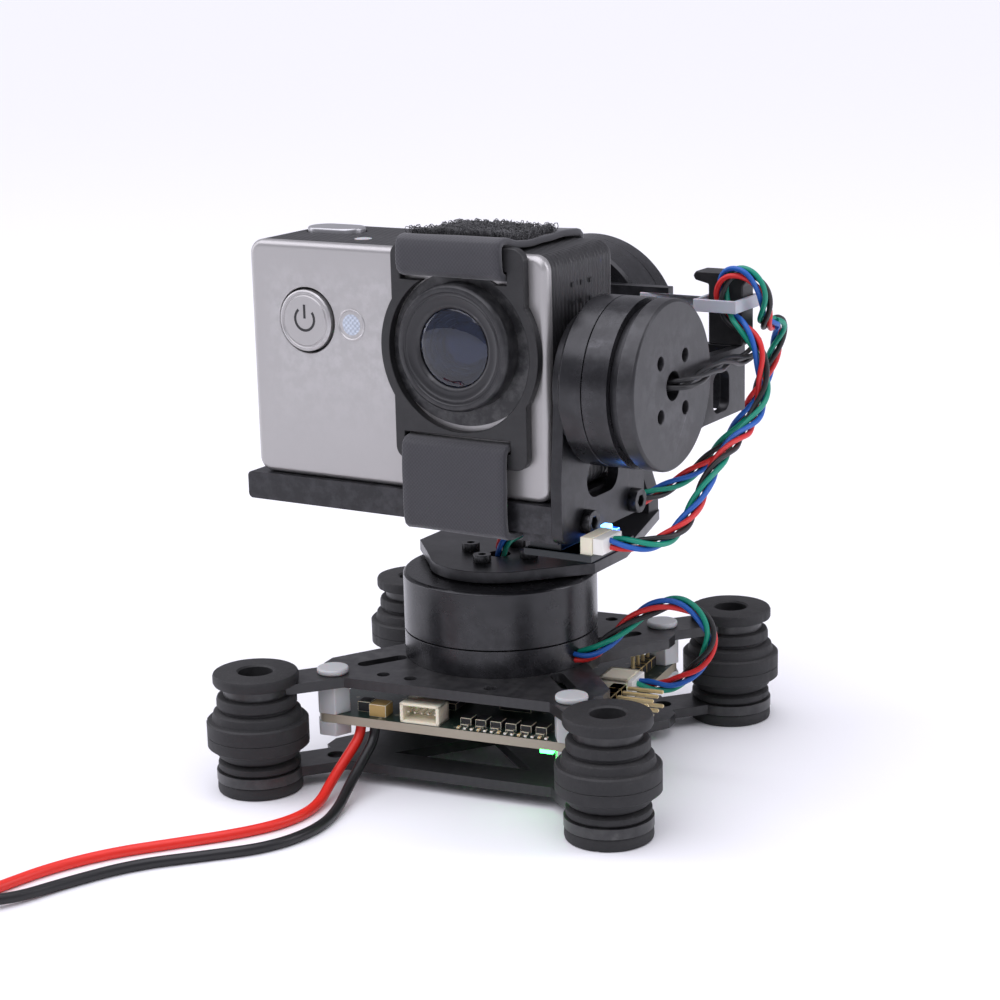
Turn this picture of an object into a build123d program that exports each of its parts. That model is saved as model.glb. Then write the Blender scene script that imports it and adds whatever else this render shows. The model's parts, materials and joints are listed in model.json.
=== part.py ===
"""Three-axis camera gimbal on four rubber dampers, with the action camera it carries.

Millimetres, +Z up, +X to the right and -Y to the front of the base. The origin is on the yaw
axis, at the middle of the airframe bolt pattern, on the lower plate's underside.
"""
import os
from math import atan, cos, degrees, pi, radians, tan
from build123d import *

os.makedirs("parts", exist_ok=True)

# --- Driving dimensions -----------------------------------------------------------------
yaw_rest = -7.4            # the head stands turned by this much on its yaw motor, degrees

damper_x = 32.6            # damper centres, half of their spacing across
damper_y = 32.0            # damper centres, half of their spacing front to back
flange_r = 7.5
flange_t = 2.2
damper_ball_r = 8.9
damper_hole_r = 2.9
plate_hole_r = 4.0         # the hole that a damper's neck snaps into
plate_t = 1.8
plate_gap = 13.4           # between the two plates
plate_half_y = 24.6        # front and back edges of the plates' middle
waist_x = 17.8             # half the plates' width between their arms
arm_w = 7.6
window_edge = 6.5          # web left around the lower plate's windows

bolt_pitch = 45.0          # spacing of the airframe holes, and of the board's own holes
bolt_hole_r = 1.6
board_hole_r = 1.8         # wider than the screws, so the board sits by its spacers
board_size = 50.0
board_t = 1.6
standoff_h = 5.0
standoff_af = 5.5          # across the flats of the nylon spacers
nut_t = 2.4

yaw_r = 17.3               # radius of the yaw and roll motors
yaw_base_h = 4.8
yaw_bell_h = 10.4
roll_base_h = 3.6
roll_bell_h = 8.1
pitch_r = 14.2
pitch_base_h = 4.5
pitch_bell_h = 4.4
seam = 0.2                 # running gap between a motor's bell and its base
boss_h = 0.3
boss_r = 8.0
bell_wall = 1.3
magnet_t = 1.2
air_gap = 0.3
shaft_r = 3.0
shaft_bore_r = 2.0
shaft_fit = 0.02           # radial clearance between a shaft and its bearings
bearing_t = 1.4            # radial thickness of a bearing
post_wall = 0.9
mount_pcd = 16.0           # screw circle on a motor's base
horn_pcd = 12.0            # screw circle on a motor's bell
end_cap_pcd = 12.4         # screw circle on the pitch motor's base
magnet_count = 14

roll_axis_z = 70.0
pitch_axis_y = -9.2
arm_t = 2.0                # thickness of the flat arms
mast_t = 4.0
mast_half_w = 9.6
roll_mast_y = 36.8         # front face of the mast, where the roll motor's base sits
side_plate_x = 34.6        # inner face of the roll arm's side plate
side_plate_t = 1.8
end_cap_t = 3.0

camera_w = 59.3
camera_h = 41.1
camera_d = 23.0
camera_x = -7.2            # middle of the camera, to the left of the yaw axis
camera_front_y = -20.7
camera_bottom_z = 50.65
face_t = 2.0               # depth of the camera's bright front shell
lens_x = 6.5
lens_z = 76.3
barrel_r = 10.7
barrel_out = 5.0
glass_r = 6.6
cut_fit = 0.3              # clearance around what passes through a hole

tray_t = 2.0
tray_lip_drop = 4.85
bracket_t = 2.0
retainer_t = 1.8
retainer_w = 25.6
retainer_bottom_z = 56.3
retainer_top_z = 93.0
retainer_hole_r = 13.5
retainer_bulge_r = 15.2
strap_w = 20.0
strap_t = 1.4
soft_gap = 0.3             # soft pieces stay this far from their neighbours

signal_d = 2.8             # outer size of a four-wire bundle
motor_lead_d = 2.4         # outer size of a three-wire bundle
power_d = 1.8
coil_mid_r = 10.0          # coil of the spare power lead, to the middle of its turns
coil_half_w = 3.4
coil_h = 4.2

# --- Heights and places worked out from them -------------------------------------------
floor_z = -flange_t
upper_z = plate_t + plate_gap
deck_z = upper_z + plate_t
board_top_z = upper_z - standoff_h
board_bottom_z = board_top_z - board_t
yaw_top_z = deck_z + yaw_base_h + seam + yaw_bell_h
yaw_arm_z = yaw_top_z + boss_h
yaw_arm_top_z = yaw_arm_z + arm_t
roll_face_y = roll_mast_y - roll_base_h - seam - roll_bell_h - boss_h
pitch_face_x = side_plate_x - pitch_base_h - seam - pitch_bell_h - boss_h
camera_z = camera_bottom_z + camera_h / 2
camera_right_x = camera_x + camera_w / 2
camera_left_x = camera_x - camera_w / 2
camera_back_y = camera_front_y + camera_d
camera_top_z = camera_bottom_z + camera_h
corners = [(-1, -1), (1, -1), (1, 1), (-1, 1)]
bolt_points = [(sx * bolt_pitch / 2, sy * bolt_pitch / 2) for sx, sy in corners]

yaw_plane = Plane.XY.offset(deck_z)
roll_plane = Plane((0, roll_mast_y, roll_axis_z), x_dir=(1, 0, 0), z_dir=(0, -1, 0))
pitch_plane = Plane((side_plate_x, pitch_axis_y, roll_axis_z), x_dir=(0, 1, 0), z_dir=(-1, 0, 0))


def save(piece, name, on_head=False):
    """Label one piece and write it, turned about the yaw axis if it rides on the head."""
    shape = Rot(0, 0, yaw_rest) * piece.part if on_head else piece.part
    shape.label = name
    export_step(shape, f"parts/{name}.step")


# --- Dampers ----------------------------------------------------------------------------
def damper(x, y):
    """A hollow rubber ball with a neck and a flange at each end, snapped into both plates."""
    neck_r = plate_hole_r - 0.02
    lower_neck = plate_t + 1.4
    profile = [
        (damper_hole_r, floor_z), (flange_r - 0.4, floor_z), (flange_r, floor_z + 0.4), (flange_r, 0),
        (neck_r, 0), (neck_r, plate_t), (5.0, plate_t), (5.0, lower_neck), (5.9, lower_neck),
        (damper_ball_r, lower_neck + 3.0), (damper_ball_r, upper_z - 4.6), (7.9, upper_z - 3.7),
        (6.95, upper_z - 3.7), (6.95, upper_z - 1.5), (5.6, upper_z - 1.5), (5.6, upper_z),
        (neck_r, upper_z), (neck_r, deck_z), (flange_r, deck_z), (flange_r, deck_z + flange_t - 0.5),
        (flange_r - 0.5, deck_z + flange_t), (damper_hole_r, deck_z + flange_t),
    ]
    with BuildPart() as ball:
        with BuildSketch(Plane.XZ):
            with BuildLine():
                Polyline(*profile, close=True)
            make_face()
        revolve(axis=Axis.Z)
    ball.part = Pos(x, y, 0) * ball.part
    return ball


damper_names = ["front_left", "front_right", "back_right", "back_left"]
for (side_x, side_y), place in zip(corners, damper_names):
    save(damper(side_x * damper_x, side_y * damper_y), f"damper_{place}")


# --- Plates -----------------------------------------------------------------------------
def plate_blank(z, ring_r):
    """The outline that both plates share: a waisted middle with an arm and a ring at each corner."""
    with BuildPart() as blank:
        with BuildSketch(Plane.XY.offset(z)):
            with BuildLine():
                Polyline(
                    (-waist_x, -3), (-26.5, -15), (-26.5, -18.3), (-20.5, -plate_half_y),
                    (20.5, -plate_half_y), (26.5, -18.3), (26.5, -15), (waist_x, -3), (waist_x, 3),
                    (26.5, 15), (26.5, 18.3), (20.5, plate_half_y + 2.5), (-20.5, plate_half_y + 2.5),
                    (-26.5, 18.3), (-26.5, 15), (-waist_x, 3), close=True,
                )
            make_face()
            for side_x, side_y in corners:
                lean = degrees(atan((damper_y - 20) / (damper_x - 20))) * side_x * side_y
                reach = ((damper_x - 20) ** 2 + (damper_y - 20) ** 2) ** 0.5
                with Locations(Location(((damper_x + 20) / 2 * side_x, (damper_y + 20) / 2 * side_y), lean)):
                    Rectangle(reach, arm_w)
                with Locations((side_x * damper_x, side_y * damper_y)):
                    Circle(ring_r)
        extrude(amount=plate_t)
        with BuildSketch(Plane.XY.offset(z)):
            with Locations(*[(sx * damper_x, sy * damper_y) for sx, sy in corners]):
                Circle(plate_hole_r)
            with Locations(*bolt_points):
                Circle(bolt_hole_r)
        extrude(amount=plate_t, mode=Mode.SUBTRACT)
    return blank


lower_blank = plate_blank(0, flange_r)
window_x = waist_x - 6.0
window_y = plate_half_y - window_edge
with BuildPart() as lower_plate:
    add(lower_blank.part)
    with BuildSketch(Plane.XY):
        for side in (-1, 1):
            with BuildLine():
                Polyline((-window_y + 5, side * window_y), (window_y - 5, side * window_y),
                         (0, side * 4.2), close=True)
            make_face()
            with BuildLine():
                Polyline((side * window_x, -7.5), (side * window_x, 7.5), (side * 4.2, 0), close=True)
            make_face()
    extrude(amount=plate_t, mode=Mode.SUBTRACT)
save(lower_plate, "lower_plate")

upper_blank = plate_blank(upper_z, 5.75)
with BuildPart() as upper_plate:
    add(upper_blank.part)
    with BuildSketch(Plane.XY.offset(upper_z)):
        Circle(shaft_bore_r + 1.0)
        with PolarLocations(mount_pcd / 2, 4, start_angle=45):
            Circle(1.1)
        with Locations((-13.6, -20.6), (-8.2, -21.0), (7.0, -21.2), (12.2, 23.4), (-12.2, 23.4)):
            Circle(1.15)
        with Locations(Location((-17.2, -13.6), 51), Location((17.2, -13.6), -51)):
            SlotOverall(9.5, 2.6)
        with Locations(Location((-17.2, 13.6), -51), Location((17.2, 13.6), 51)):
            SlotOverall(9.5, 2.6)
    extrude(amount=plate_t, mode=Mode.SUBTRACT)
save(upper_plate, "upper_plate")

# --- Controller board and the nylon hardware that hangs it ------------------------------
screw_r = bolt_hole_r - 0.1
with BuildPart() as spacers:
    with BuildSketch(Plane.XY.offset(board_top_z)):
        with Locations(*bolt_points):
            RegularPolygon(standoff_af / 2, 6, major_radius=False)
        with Locations(*bolt_points):
            Circle(screw_r, mode=Mode.SUBTRACT)
    extrude(amount=standoff_h)
    with BuildSketch(Plane.XY.offset(board_bottom_z)):
        with Locations(*bolt_points):
            RegularPolygon(standoff_af / 2, 6, major_radius=False)
        with Locations(*bolt_points):
            Circle(screw_r, mode=Mode.SUBTRACT)
    extrude(amount=-nut_t)
save(spacers, "nylon_spacers")

with BuildPart() as nylon_screws:
    with BuildSketch(Plane.XY.offset(board_bottom_z - nut_t)):
        with Locations(*bolt_points):
            Circle(screw_r)
    extrude(amount=deck_z - board_bottom_z + nut_t)
    with BuildSketch(Plane.XY.offset(deck_z)):
        with Locations(*bolt_points):
            Circle(2.8)
    extrude(amount=1.1)
save(nylon_screws, "nylon_screws")

with BuildPart() as board:
    with BuildSketch(Plane.XY.offset(board_bottom_z)):
        RectangleRounded(board_size, board_size, 2.2)
        with Locations(*bolt_points):
            Circle(board_hole_r, mode=Mode.SUBTRACT)
    extrude(amount=board_t)
save(board, "controller_board")

# Each part on the board: middle, size, and whether it sits on the top or hangs underneath.
board_parts = [
    (-4.9, -22.6, 7.4, 4.4, 3.6, True),     # five-way signal socket at the front
    (-13.5, -22.2, 3.2, 3.0, 2.2, True),    # capacitors beside it
    (-17.0, -20.6, 2.4, 2.6, 1.8, True),
    (10.0, -21.0, 17.0, 4.0, 2.0, True),    # row of driver parts
    (-6.0, -12.0, 8.0, 8.0, 1.2, True),
    (8.0, -10.0, 6.0, 6.0, 1.2, True),
    (6.0, 10.0, 9.0, 9.0, 1.4, True),
    (-10.0, 8.0, 7.0, 7.0, 1.2, True),
    (0.0, 3.0, 10.0, 10.0, 1.4, False),     # main processor
    (14.0, -14.0, 5.0, 4.0, 1.2, False),
    (-14.0, 12.0, 6.0, 5.0, 1.6, False),
]
socket_x = board_size / 2 - 3.6
socket_y = 2.8
with BuildPart() as parts_on_board:
    for x, y, w, d, h, on_top in board_parts:
        with BuildSketch(Plane.XY.offset(board_top_z if on_top else board_bottom_z)):
            with Locations((x, y)):
                Rectangle(w, d)
        extrude(amount=h if on_top else -h)
    with BuildSketch(Plane.XY.offset(board_top_z)):
        with Locations((socket_x, socket_y)):
            Rectangle(5.4, 6.6)
    extrude(amount=3.6)
    with BuildSketch(Plane.YZ.offset(socket_x + 2.7)):
        with Locations((socket_y, board_top_z + 1.8)):
            Rectangle(5.2, 2.4)
    extrude(amount=-4.0, mode=Mode.SUBTRACT)
save(parts_on_board, "board_components")

with BuildPart() as pins:
    for row in range(2):
        with BuildSketch(Plane.YZ.offset(board_size / 2 + 1.0)):
            for column in range(4):
                with Locations((-12.5 + 2.54 * column, board_top_z + 1.2 + 2.54 * row)):
                    Rectangle(0.64, 0.64)
        extrude(amount=6.5)
    with BuildSketch(Plane.XY.offset(board_top_z)):
        with Locations((board_size / 2 - 1.5, -12.5 + 2.54 * 1.5)):
            Rectangle(5.0, 10.2)
    extrude(amount=4.9)
    with BuildSketch(Plane.XY.offset(board_top_z)):
        for column in range(4):
            with Locations((board_size / 2 - 4.0, 11.0 + 2.54 * column)):
                Rectangle(0.64, 0.64)
    extrude(amount=4.4)
save(pins, "pin_headers")


# --- Motors -----------------------------------------------------------------------------
def motor_base(at, radius, height, inner_h, floor_t, screw_pcd):
    """The fixed half of a motor: a floor with screw holes, a low rim and the bearing post."""
    post_r = shaft_r + bearing_t + post_wall
    with BuildPart() as base:
        with BuildSketch(at):
            Circle(radius)
            Circle(shaft_r + bearing_t, mode=Mode.SUBTRACT)
            with PolarLocations(screw_pcd / 2, 4, start_angle=45):
                Circle(0.8, mode=Mode.SUBTRACT)
        extrude(amount=floor_t)
        with BuildSketch(at.offset(floor_t)):
            Circle(radius)
            Circle(radius - bell_wall, mode=Mode.SUBTRACT)
        extrude(amount=height - floor_t)
        with BuildSketch(at.offset(floor_t)):
            Circle(post_r)
            Circle(shaft_r + bearing_t, mode=Mode.SUBTRACT)
        extrude(amount=inner_h - floor_t)
    return base


def motor_stator(at, radius, low, high):
    """Twelve wound teeth around the bearing post."""
    hub_r = shaft_r + bearing_t + post_wall
    rim_r = radius - bell_wall - magnet_t - air_gap
    with BuildPart() as stator:
        with BuildSketch(at.offset(low)):
            Circle(hub_r + 1.2)
            with PolarLocations((hub_r + rim_r) / 2, 12):
                Rectangle(rim_r - hub_r - 0.4, 1.5)
            with PolarLocations(rim_r - 0.7, 12):
                Rectangle(1.0, 3.2 if radius > 15 else 2.6)
            Circle(hub_r, mode=Mode.SUBTRACT)
        extrude(amount=high - low)
    return stator


def motor_bearings(at, low_end, high_end):
    """Two ball bearings in the post, drawn as plain rings."""
    with BuildPart() as bearings:
        for start in (low_end, high_end - 2.0):
            with BuildSketch(at.offset(start)):
                Circle(shaft_r + bearing_t)
                Circle(shaft_r + shaft_fit, mode=Mode.SUBTRACT)
            extrude(amount=2.0)
    return bearings


def motor_bell(at, radius, base_h, bell_h, cap_t):
    """The turning half: a closed cap with a skirt, and a low boss that the arm is screwed to."""
    skirt = base_h + seam
    top = skirt + bell_h
    with BuildPart() as bell:
        with BuildSketch(at.offset(skirt)):
            Circle(radius)
            Circle(radius - bell_wall, mode=Mode.SUBTRACT)
        extrude(amount=bell_h - cap_t)
        with BuildSketch(at.offset(top - cap_t)):
            Circle(radius)
        extrude(amount=cap_t)
        chamfer(bell.edges().group_by(Axis(at.origin, at.z_dir))[-1], 0.5)
        with BuildSketch(at.offset(top)):
            Circle(boss_r)
        extrude(amount=boss_h)
        with BuildSketch(at.offset(top + boss_h)):
            Circle(shaft_r)
            with PolarLocations(horn_pcd / 2, 4):
                Circle(0.8)
        extrude(amount=-cap_t - boss_h, mode=Mode.SUBTRACT)
    return bell


def motor_magnets(at, radius, low, high, count):
    """Flat magnets on the inside of the skirt."""
    outer = radius - bell_wall
    with BuildPart() as magnets:
        with BuildSketch(at.offset(low)):
            Circle(outer)
            Circle(outer - magnet_t, mode=Mode.SUBTRACT)
            with PolarLocations(outer, count, start_angle=180 / count):
                Rectangle(4 * magnet_t, 0.7, mode=Mode.SUBTRACT)
        extrude(amount=high - low)
    return magnets


def motor_shaft(at, low, high):
    """A hollow shaft, pressed into the bell."""
    with BuildPart() as shaft:
        with BuildSketch(at.offset(low)):
            Circle(shaft_r)
            Circle(shaft_bore_r, mode=Mode.SUBTRACT)
        extrude(amount=high - low)
    return shaft


def motor(name, at, radius, base_h, bell_h, floor_t, cap_t, screw_pcd, on_head):
    """Write all six pieces of one motor. Its base may stand still while the rest is on the head."""
    inner_top = base_h + seam + bell_h - cap_t - 0.4
    top = base_h + seam + bell_h + boss_h
    save(motor_base(at, radius, base_h, inner_top, floor_t, screw_pcd), f"{name}_motor_base", on_head)
    save(motor_stator(at, radius, floor_t + 0.6, inner_top - 0.2), f"{name}_stator", on_head)
    save(motor_bearings(at, 0.3, inner_top), f"{name}_bearings", on_head)
    save(motor_bell(at, radius, base_h, bell_h, cap_t), f"{name}_bell", True)
    save(motor_magnets(at, radius, base_h + seam, base_h + seam + bell_h - cap_t, magnet_count),
         f"{name}_magnets", True)
    save(motor_shaft(at, 0.3, top), f"{name}_shaft", True)


motor("yaw", yaw_plane, yaw_r, yaw_base_h, yaw_bell_h, 2.0, 2.8, mount_pcd, False)
motor("roll", roll_plane, yaw_r, roll_base_h, roll_bell_h, 1.8, 2.2, mount_pcd, True)
motor("pitch", pitch_plane, pitch_r, pitch_base_h, pitch_bell_h, 1.4, 1.4, end_cap_pcd, True)


def cap_screws(at, points, shank, head_r, head_h, socket_r):
    """Socket-head screws: heads on the plane, shanks going down into the threads."""
    with BuildPart() as screws:
        with BuildSketch(at):
            with Locations(*points):
                Circle(head_r)
        extrude(amount=head_h)
        with BuildSketch(at):
            with Locations(*points):
                Circle(0.8)
        extrude(amount=-shank)
        with BuildSketch(at.offset(head_h)):
            with Locations(*points):
                RegularPolygon(socket_r, 6)
        extrude(amount=-head_h * 0.55, mode=Mode.SUBTRACT)
    return screws


horn_points = [(horn_pcd / 2, 0), (0, horn_pcd / 2), (-horn_pcd / 2, 0), (0, -horn_pcd / 2)]
mount_reach = mount_pcd / 2 * cos(radians(45))
mount_points = [(sx * mount_reach, sy * mount_reach) for sx, sy in corners]
yaw_foot_plane = Plane((0, 0, upper_z), x_dir=(1, 0, 0), z_dir=(0, 0, -1))
save(cap_screws(yaw_foot_plane, mount_points, plate_t + 1.8, 1.6, 1.2, 0.75), "yaw_motor_screws")

# --- Yaw arm: a flat tongue on the yaw motor that rises as a mast behind the camera -------
with BuildPart() as yaw_arm:
    with BuildSketch(Plane.XY.offset(yaw_arm_z)):
        Circle(12.5)
        with BuildLine():
            Polyline((-18.2, 2.0), (-8.5, -9.0), (8.5, -9.0), (18.2, 2.0), (18.2, 14.0),
                     (11.0, roll_mast_y + mast_t), (-11.0, roll_mast_y + mast_t), (-18.2, 14.0), close=True)
        make_face()
        Circle(shaft_bore_r, mode=Mode.SUBTRACT)
        with Locations(*horn_points):
            Circle(0.9, mode=Mode.SUBTRACT)
    extrude(amount=arm_t)
    with BuildSketch(Plane.XZ.offset(-roll_mast_y - mast_t)):
        with Locations((0, roll_axis_z)):
            Circle(13.0)
        with BuildLine():
            Polyline((-10.8, yaw_arm_z), (10.8, yaw_arm_z), (10.8, 38.5), (mast_half_w, 42.0),
                     (mast_half_w, roll_axis_z), (-mast_half_w, roll_axis_z), (-mast_half_w, 42.0),
                     (-10.8, 38.5), close=True)
        make_face()
        with Locations((0, roll_axis_z)):
            Circle(shaft_bore_r + 1.0, mode=Mode.SUBTRACT)
            with PolarLocations(mount_pcd / 2, 4, start_angle=45):
                Circle(1.0, mode=Mode.SUBTRACT)
    extrude(amount=mast_t)
save(yaw_arm, "yaw_arm", True)

yaw_horn_plane = Plane.XY.offset(yaw_arm_top_z)
save(cap_screws(yaw_horn_plane, horn_points, arm_t + 2.2, 1.6, 1.4, 0.75), "yaw_arm_screws", True)

# --- Roll arm: an upright plate on the roll motor, bent forward to carry the pitch motor ---
arm_right_x = side_plate_x + side_plate_t
arm_low_z = 59.5
arm_high_z = 71.0
roll_arm_front = Plane((0, roll_face_y - arm_t, roll_axis_z), x_dir=(1, 0, 0), z_dir=(0, -1, 0))
side_plane = Plane((arm_right_x, pitch_axis_y, roll_axis_z), x_dir=(0, 1, 0), z_dir=(1, 0, 0))
with BuildPart() as roll_arm:
    with BuildSketch(Plane.XZ.offset(-roll_face_y)):
        with Locations((0, roll_axis_z)):
            Circle(12.0)
        with BuildLine():
            Polyline((0, arm_low_z), (arm_right_x, arm_low_z), (arm_right_x, arm_high_z),
                     (22.4, arm_high_z), (22.4, 80.5), (0, 80.5), close=True)
        make_face()
        with Locations((0, roll_axis_z)):
            Circle(shaft_r, mode=Mode.SUBTRACT)
            with PolarLocations(horn_pcd / 2, 4):
                Circle(0.9, mode=Mode.SUBTRACT)
    extrude(amount=arm_t)
    with BuildSketch(Plane.YZ.offset(side_plate_x)):
        with Locations((pitch_axis_y, roll_axis_z)):
            Circle(13.0)
        with BuildLine():
            Polyline((pitch_axis_y, roll_axis_z - 13), (8, arm_low_z), (roll_face_y, arm_low_z),
                     (roll_face_y, arm_high_z), (21.0, arm_high_z), (8, arm_high_z + 0.5), (-1, roll_axis_z + 11),
                     (pitch_axis_y, roll_axis_z + 13), close=True)
        make_face()
        with Locations((pitch_axis_y, roll_axis_z)):
            Circle(shaft_r, mode=Mode.SUBTRACT)
            with PolarLocations(end_cap_pcd / 2, 4, start_angle=45):
                Circle(0.9, mode=Mode.SUBTRACT)
        with Locations((15.0, 64.3)):
            RectangleRounded(6.3, 7.0, 1.8, mode=Mode.SUBTRACT)
    extrude(amount=side_plate_t)
save(roll_arm, "roll_arm", True)

with BuildPart() as end_cap:
    with BuildSketch(side_plane):
        Circle(pitch_r)
        Circle(2.4, mode=Mode.SUBTRACT)
        with PolarLocations(end_cap_pcd / 2, 4, start_angle=45):
            Circle(1.15, mode=Mode.SUBTRACT)
    extrude(amount=end_cap_t)
    chamfer(end_cap.edges().filter_by(GeomType.CIRCLE).group_by(Axis.X)[-1].sort_by(SortBy.RADIUS)[-1:], 0.4)
save(end_cap, "arm_end_cap", True)

end_reach = end_cap_pcd / 2 * cos(radians(45))
end_points = [(sx * end_reach, sy * end_reach) for sx, sy in corners]
roll_screws = cap_screws(roll_arm_front, horn_points, arm_t + 2.0, 1.6, 1.4, 0.75)
pitch_screws = cap_screws(side_plane, end_points, side_plate_t + 1.2, 1.0, 0.9, 0.5)
with BuildPart() as arm_screws:
    add(roll_screws.part)
    add(pitch_screws.part)
save(arm_screws, "roll_arm_screws", True)

saddle_low_x = 30.2
saddle_high_x = 36.8
saddle_top_z = 83.8
with BuildPart() as saddle:
    with BuildSketch(Plane.XZ.offset(-roll_face_y - 2.6)):
        with BuildLine():
            Polyline((saddle_low_x, arm_high_z), (saddle_high_x, arm_high_z), (saddle_high_x, 81.6),
                     (saddle_high_x + 0.6, 82.2), (saddle_high_x + 0.6, saddle_top_z - 0.6),
                     (saddle_high_x, saddle_top_z), (27.8, saddle_top_z), (27.2, saddle_top_z - 0.8),
                     (27.6, 82.2), (saddle_low_x, 81.6), close=True)
        make_face()
    extrude(amount=arm_t + 2.6)
save(saddle, "cable_saddle", True)

tie_z = 77.4
with BuildPart() as cable_tie:
    with BuildSketch(Plane.XY.offset(tie_z)):
        with BuildLine():
            Polyline((29.4, 18.2), (37.6, 18.2), (37.6, 28.0), (29.4, 28.0), close=True)
        make_face()
        with BuildLine():
            Polyline((30.0, 18.8), (37.0, 18.8), (37.0, 27.4), (30.0, 27.4), close=True)
        make_face(mode=Mode.SUBTRACT)
        with Locations((23.5, 21.4)):
            Rectangle(12.0, 0.6)
    extrude(amount=2.2)
save(cable_tie, "cable_tie", True)

# --- Camera tray and the bracket that joins it to the pitch motor ------------------------
bracket_x = pitch_face_x - bracket_t
tray_left_x = camera_left_x - 1.7
boss_left_x = 16.6
flange_low_z = 43.8
tray_screw_points = [(-13.5, 46.6), (3.2, 46.6)]
tray_screw_head_h = 1.6
lip_low_z = camera_bottom_z - tray_lip_drop
with BuildPart() as tray:
    with BuildSketch(Plane.XY.offset(camera_bottom_z - tray_t)):
        with BuildLine():
            Polyline((tray_left_x, camera_front_y - 1.0), (bracket_x, camera_front_y - 1.0),
                     (bracket_x, camera_back_y + 0.3), (tray_left_x, camera_back_y + 0.3), close=True)
        make_face()
    extrude(amount=tray_t)
    with BuildSketch(Plane.XZ.offset(-camera_front_y - 1.0)):
        with Locations(((tray_left_x + bracket_x) / 2, camera_bottom_z - tray_lip_drop / 2)):
            Rectangle(bracket_x - tray_left_x, tray_lip_drop)
    extrude(amount=tray_t)
    fillet(tray.edges().filter_by(Axis.Y).group_by(Axis.X)[0], 0.9)
    with BuildSketch(Plane.YZ.offset(boss_left_x)):
        with BuildLine():
            Polyline((camera_front_y + 1.0, flange_low_z), (7.0, flange_low_z), (7.0, 48.0),
                     (camera_back_y, camera_bottom_z - tray_t), (camera_front_y + 1.0, camera_bottom_z - tray_t),
                     close=True)
        make_face()
        with Locations(*tray_screw_points):
            Circle(1.2, mode=Mode.SUBTRACT)
    extrude(amount=bracket_x - boss_left_x)
save(tray, "camera_tray", True)

with BuildPart() as bracket:
    with BuildSketch(Plane.YZ.offset(bracket_x)):
        with Locations((pitch_axis_y, roll_axis_z)):
            Circle(11.5)
        with BuildLine():
            Polyline((camera_front_y - 1.0, 44.2), (7.4, 44.2), (7.4, 50.5), (1.8, 60.0),
                     (1.8, roll_axis_z), (-20.2, roll_axis_z), (camera_front_y - 1.0, 55.0), close=True)
        make_face()
        with Locations((-7.5, 53.2)):
            SlotOverall(11.0, 6.2, mode=Mode.SUBTRACT)
        with Locations((pitch_axis_y, roll_axis_z)):
            Circle(shaft_r, mode=Mode.SUBTRACT)
            with PolarLocations(horn_pcd / 2, 4):
                Circle(0.9, mode=Mode.SUBTRACT)
        with Locations(*tray_screw_points):
            Circle(1.35, mode=Mode.SUBTRACT)
    extrude(amount=bracket_t)
    fillet(bracket.edges().filter_by(Axis.X).group_by(Axis.Z)[0], 2.0)
save(bracket, "tray_bracket", True)

tray_screw_plane = Plane((pitch_face_x, 0, 0), x_dir=(0, 1, 0), z_dir=(1, 0, 0))
horn_screw_plane = Plane((bracket_x, pitch_axis_y, roll_axis_z), x_dir=(0, 1, 0), z_dir=(-1, 0, 0))
with BuildPart() as bracket_screws:
    with BuildSketch(tray_screw_plane):
        with Locations(*tray_screw_points):
            Circle(2.1)
    extrude(amount=tray_screw_head_h)
    with BuildSketch(tray_screw_plane):
        with Locations(*tray_screw_points):
            Circle(1.2)
    extrude(amount=-7.0)
    with BuildSketch(tray_screw_plane.offset(tray_screw_head_h)):
        with Locations(*tray_screw_points):
            RegularPolygon(1.1, 6)
    extrude(amount=-1.0, mode=Mode.SUBTRACT)
    with BuildSketch(horn_screw_plane):
        with Locations(*horn_points):
            Circle(1.5)
    extrude(amount=0.5)
    with BuildSketch(horn_screw_plane):
        with Locations(*horn_points):
            Circle(0.8)
    extrude(amount=-bracket_t - boss_h - 1.2)
save(bracket_screws, "bracket_screws", True)

# --- Motion sensor board under the tray --------------------------------------------------
sensor_top_z = 42.6
sensor_t = 1.2
sensor_socket_x = pitch_face_x + tray_screw_head_h + 0.3
sensor_mouth_x = 29.3
plug_face_x = 31.2
plug_y = -15.5
plug_z = sensor_top_z + 1.45
with BuildPart() as sensor_board:
    with BuildSketch(Plane.XY.offset(sensor_top_z)):
        with Locations((23.0, -12.1)):
            Rectangle(12.8, 15.0)
    extrude(amount=-sensor_t)
    with BuildSketch(Plane.XY.offset(sensor_top_z)):
        with Locations(((17.2 + bracket_x) / 2, -12.1)):
            Rectangle(bracket_x - 17.2, 13.0)
    extrude(amount=flange_low_z - sensor_top_z)
    with BuildSketch(Plane.XY.offset(sensor_top_z)):
        with Locations(((sensor_socket_x + sensor_mouth_x) / 2, plug_y)):
            Rectangle(sensor_mouth_x - sensor_socket_x, 7.2)
    extrude(amount=2.9)
    with BuildSketch(Plane.YZ.offset(sensor_mouth_x)):
        with Locations((plug_y, plug_z)):
            Rectangle(5.8, 2.1)
    extrude(amount=-1.6, mode=Mode.SUBTRACT)
save(sensor_board, "imu_board", True)

with BuildPart() as sensor_plug:
    with BuildSketch(Plane.YZ.offset(sensor_mouth_x - 1.4)):
        with Locations((plug_y, plug_z)):
            Rectangle(5.6, 1.9)
    extrude(amount=1.4)
    with BuildSketch(Plane.YZ.offset(sensor_mouth_x)):
        with Locations((plug_y, plug_z)):
            Rectangle(6.8, 2.7)
    extrude(amount=plug_face_x - sensor_mouth_x)
save(sensor_plug, "imu_plug", True)

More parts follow.
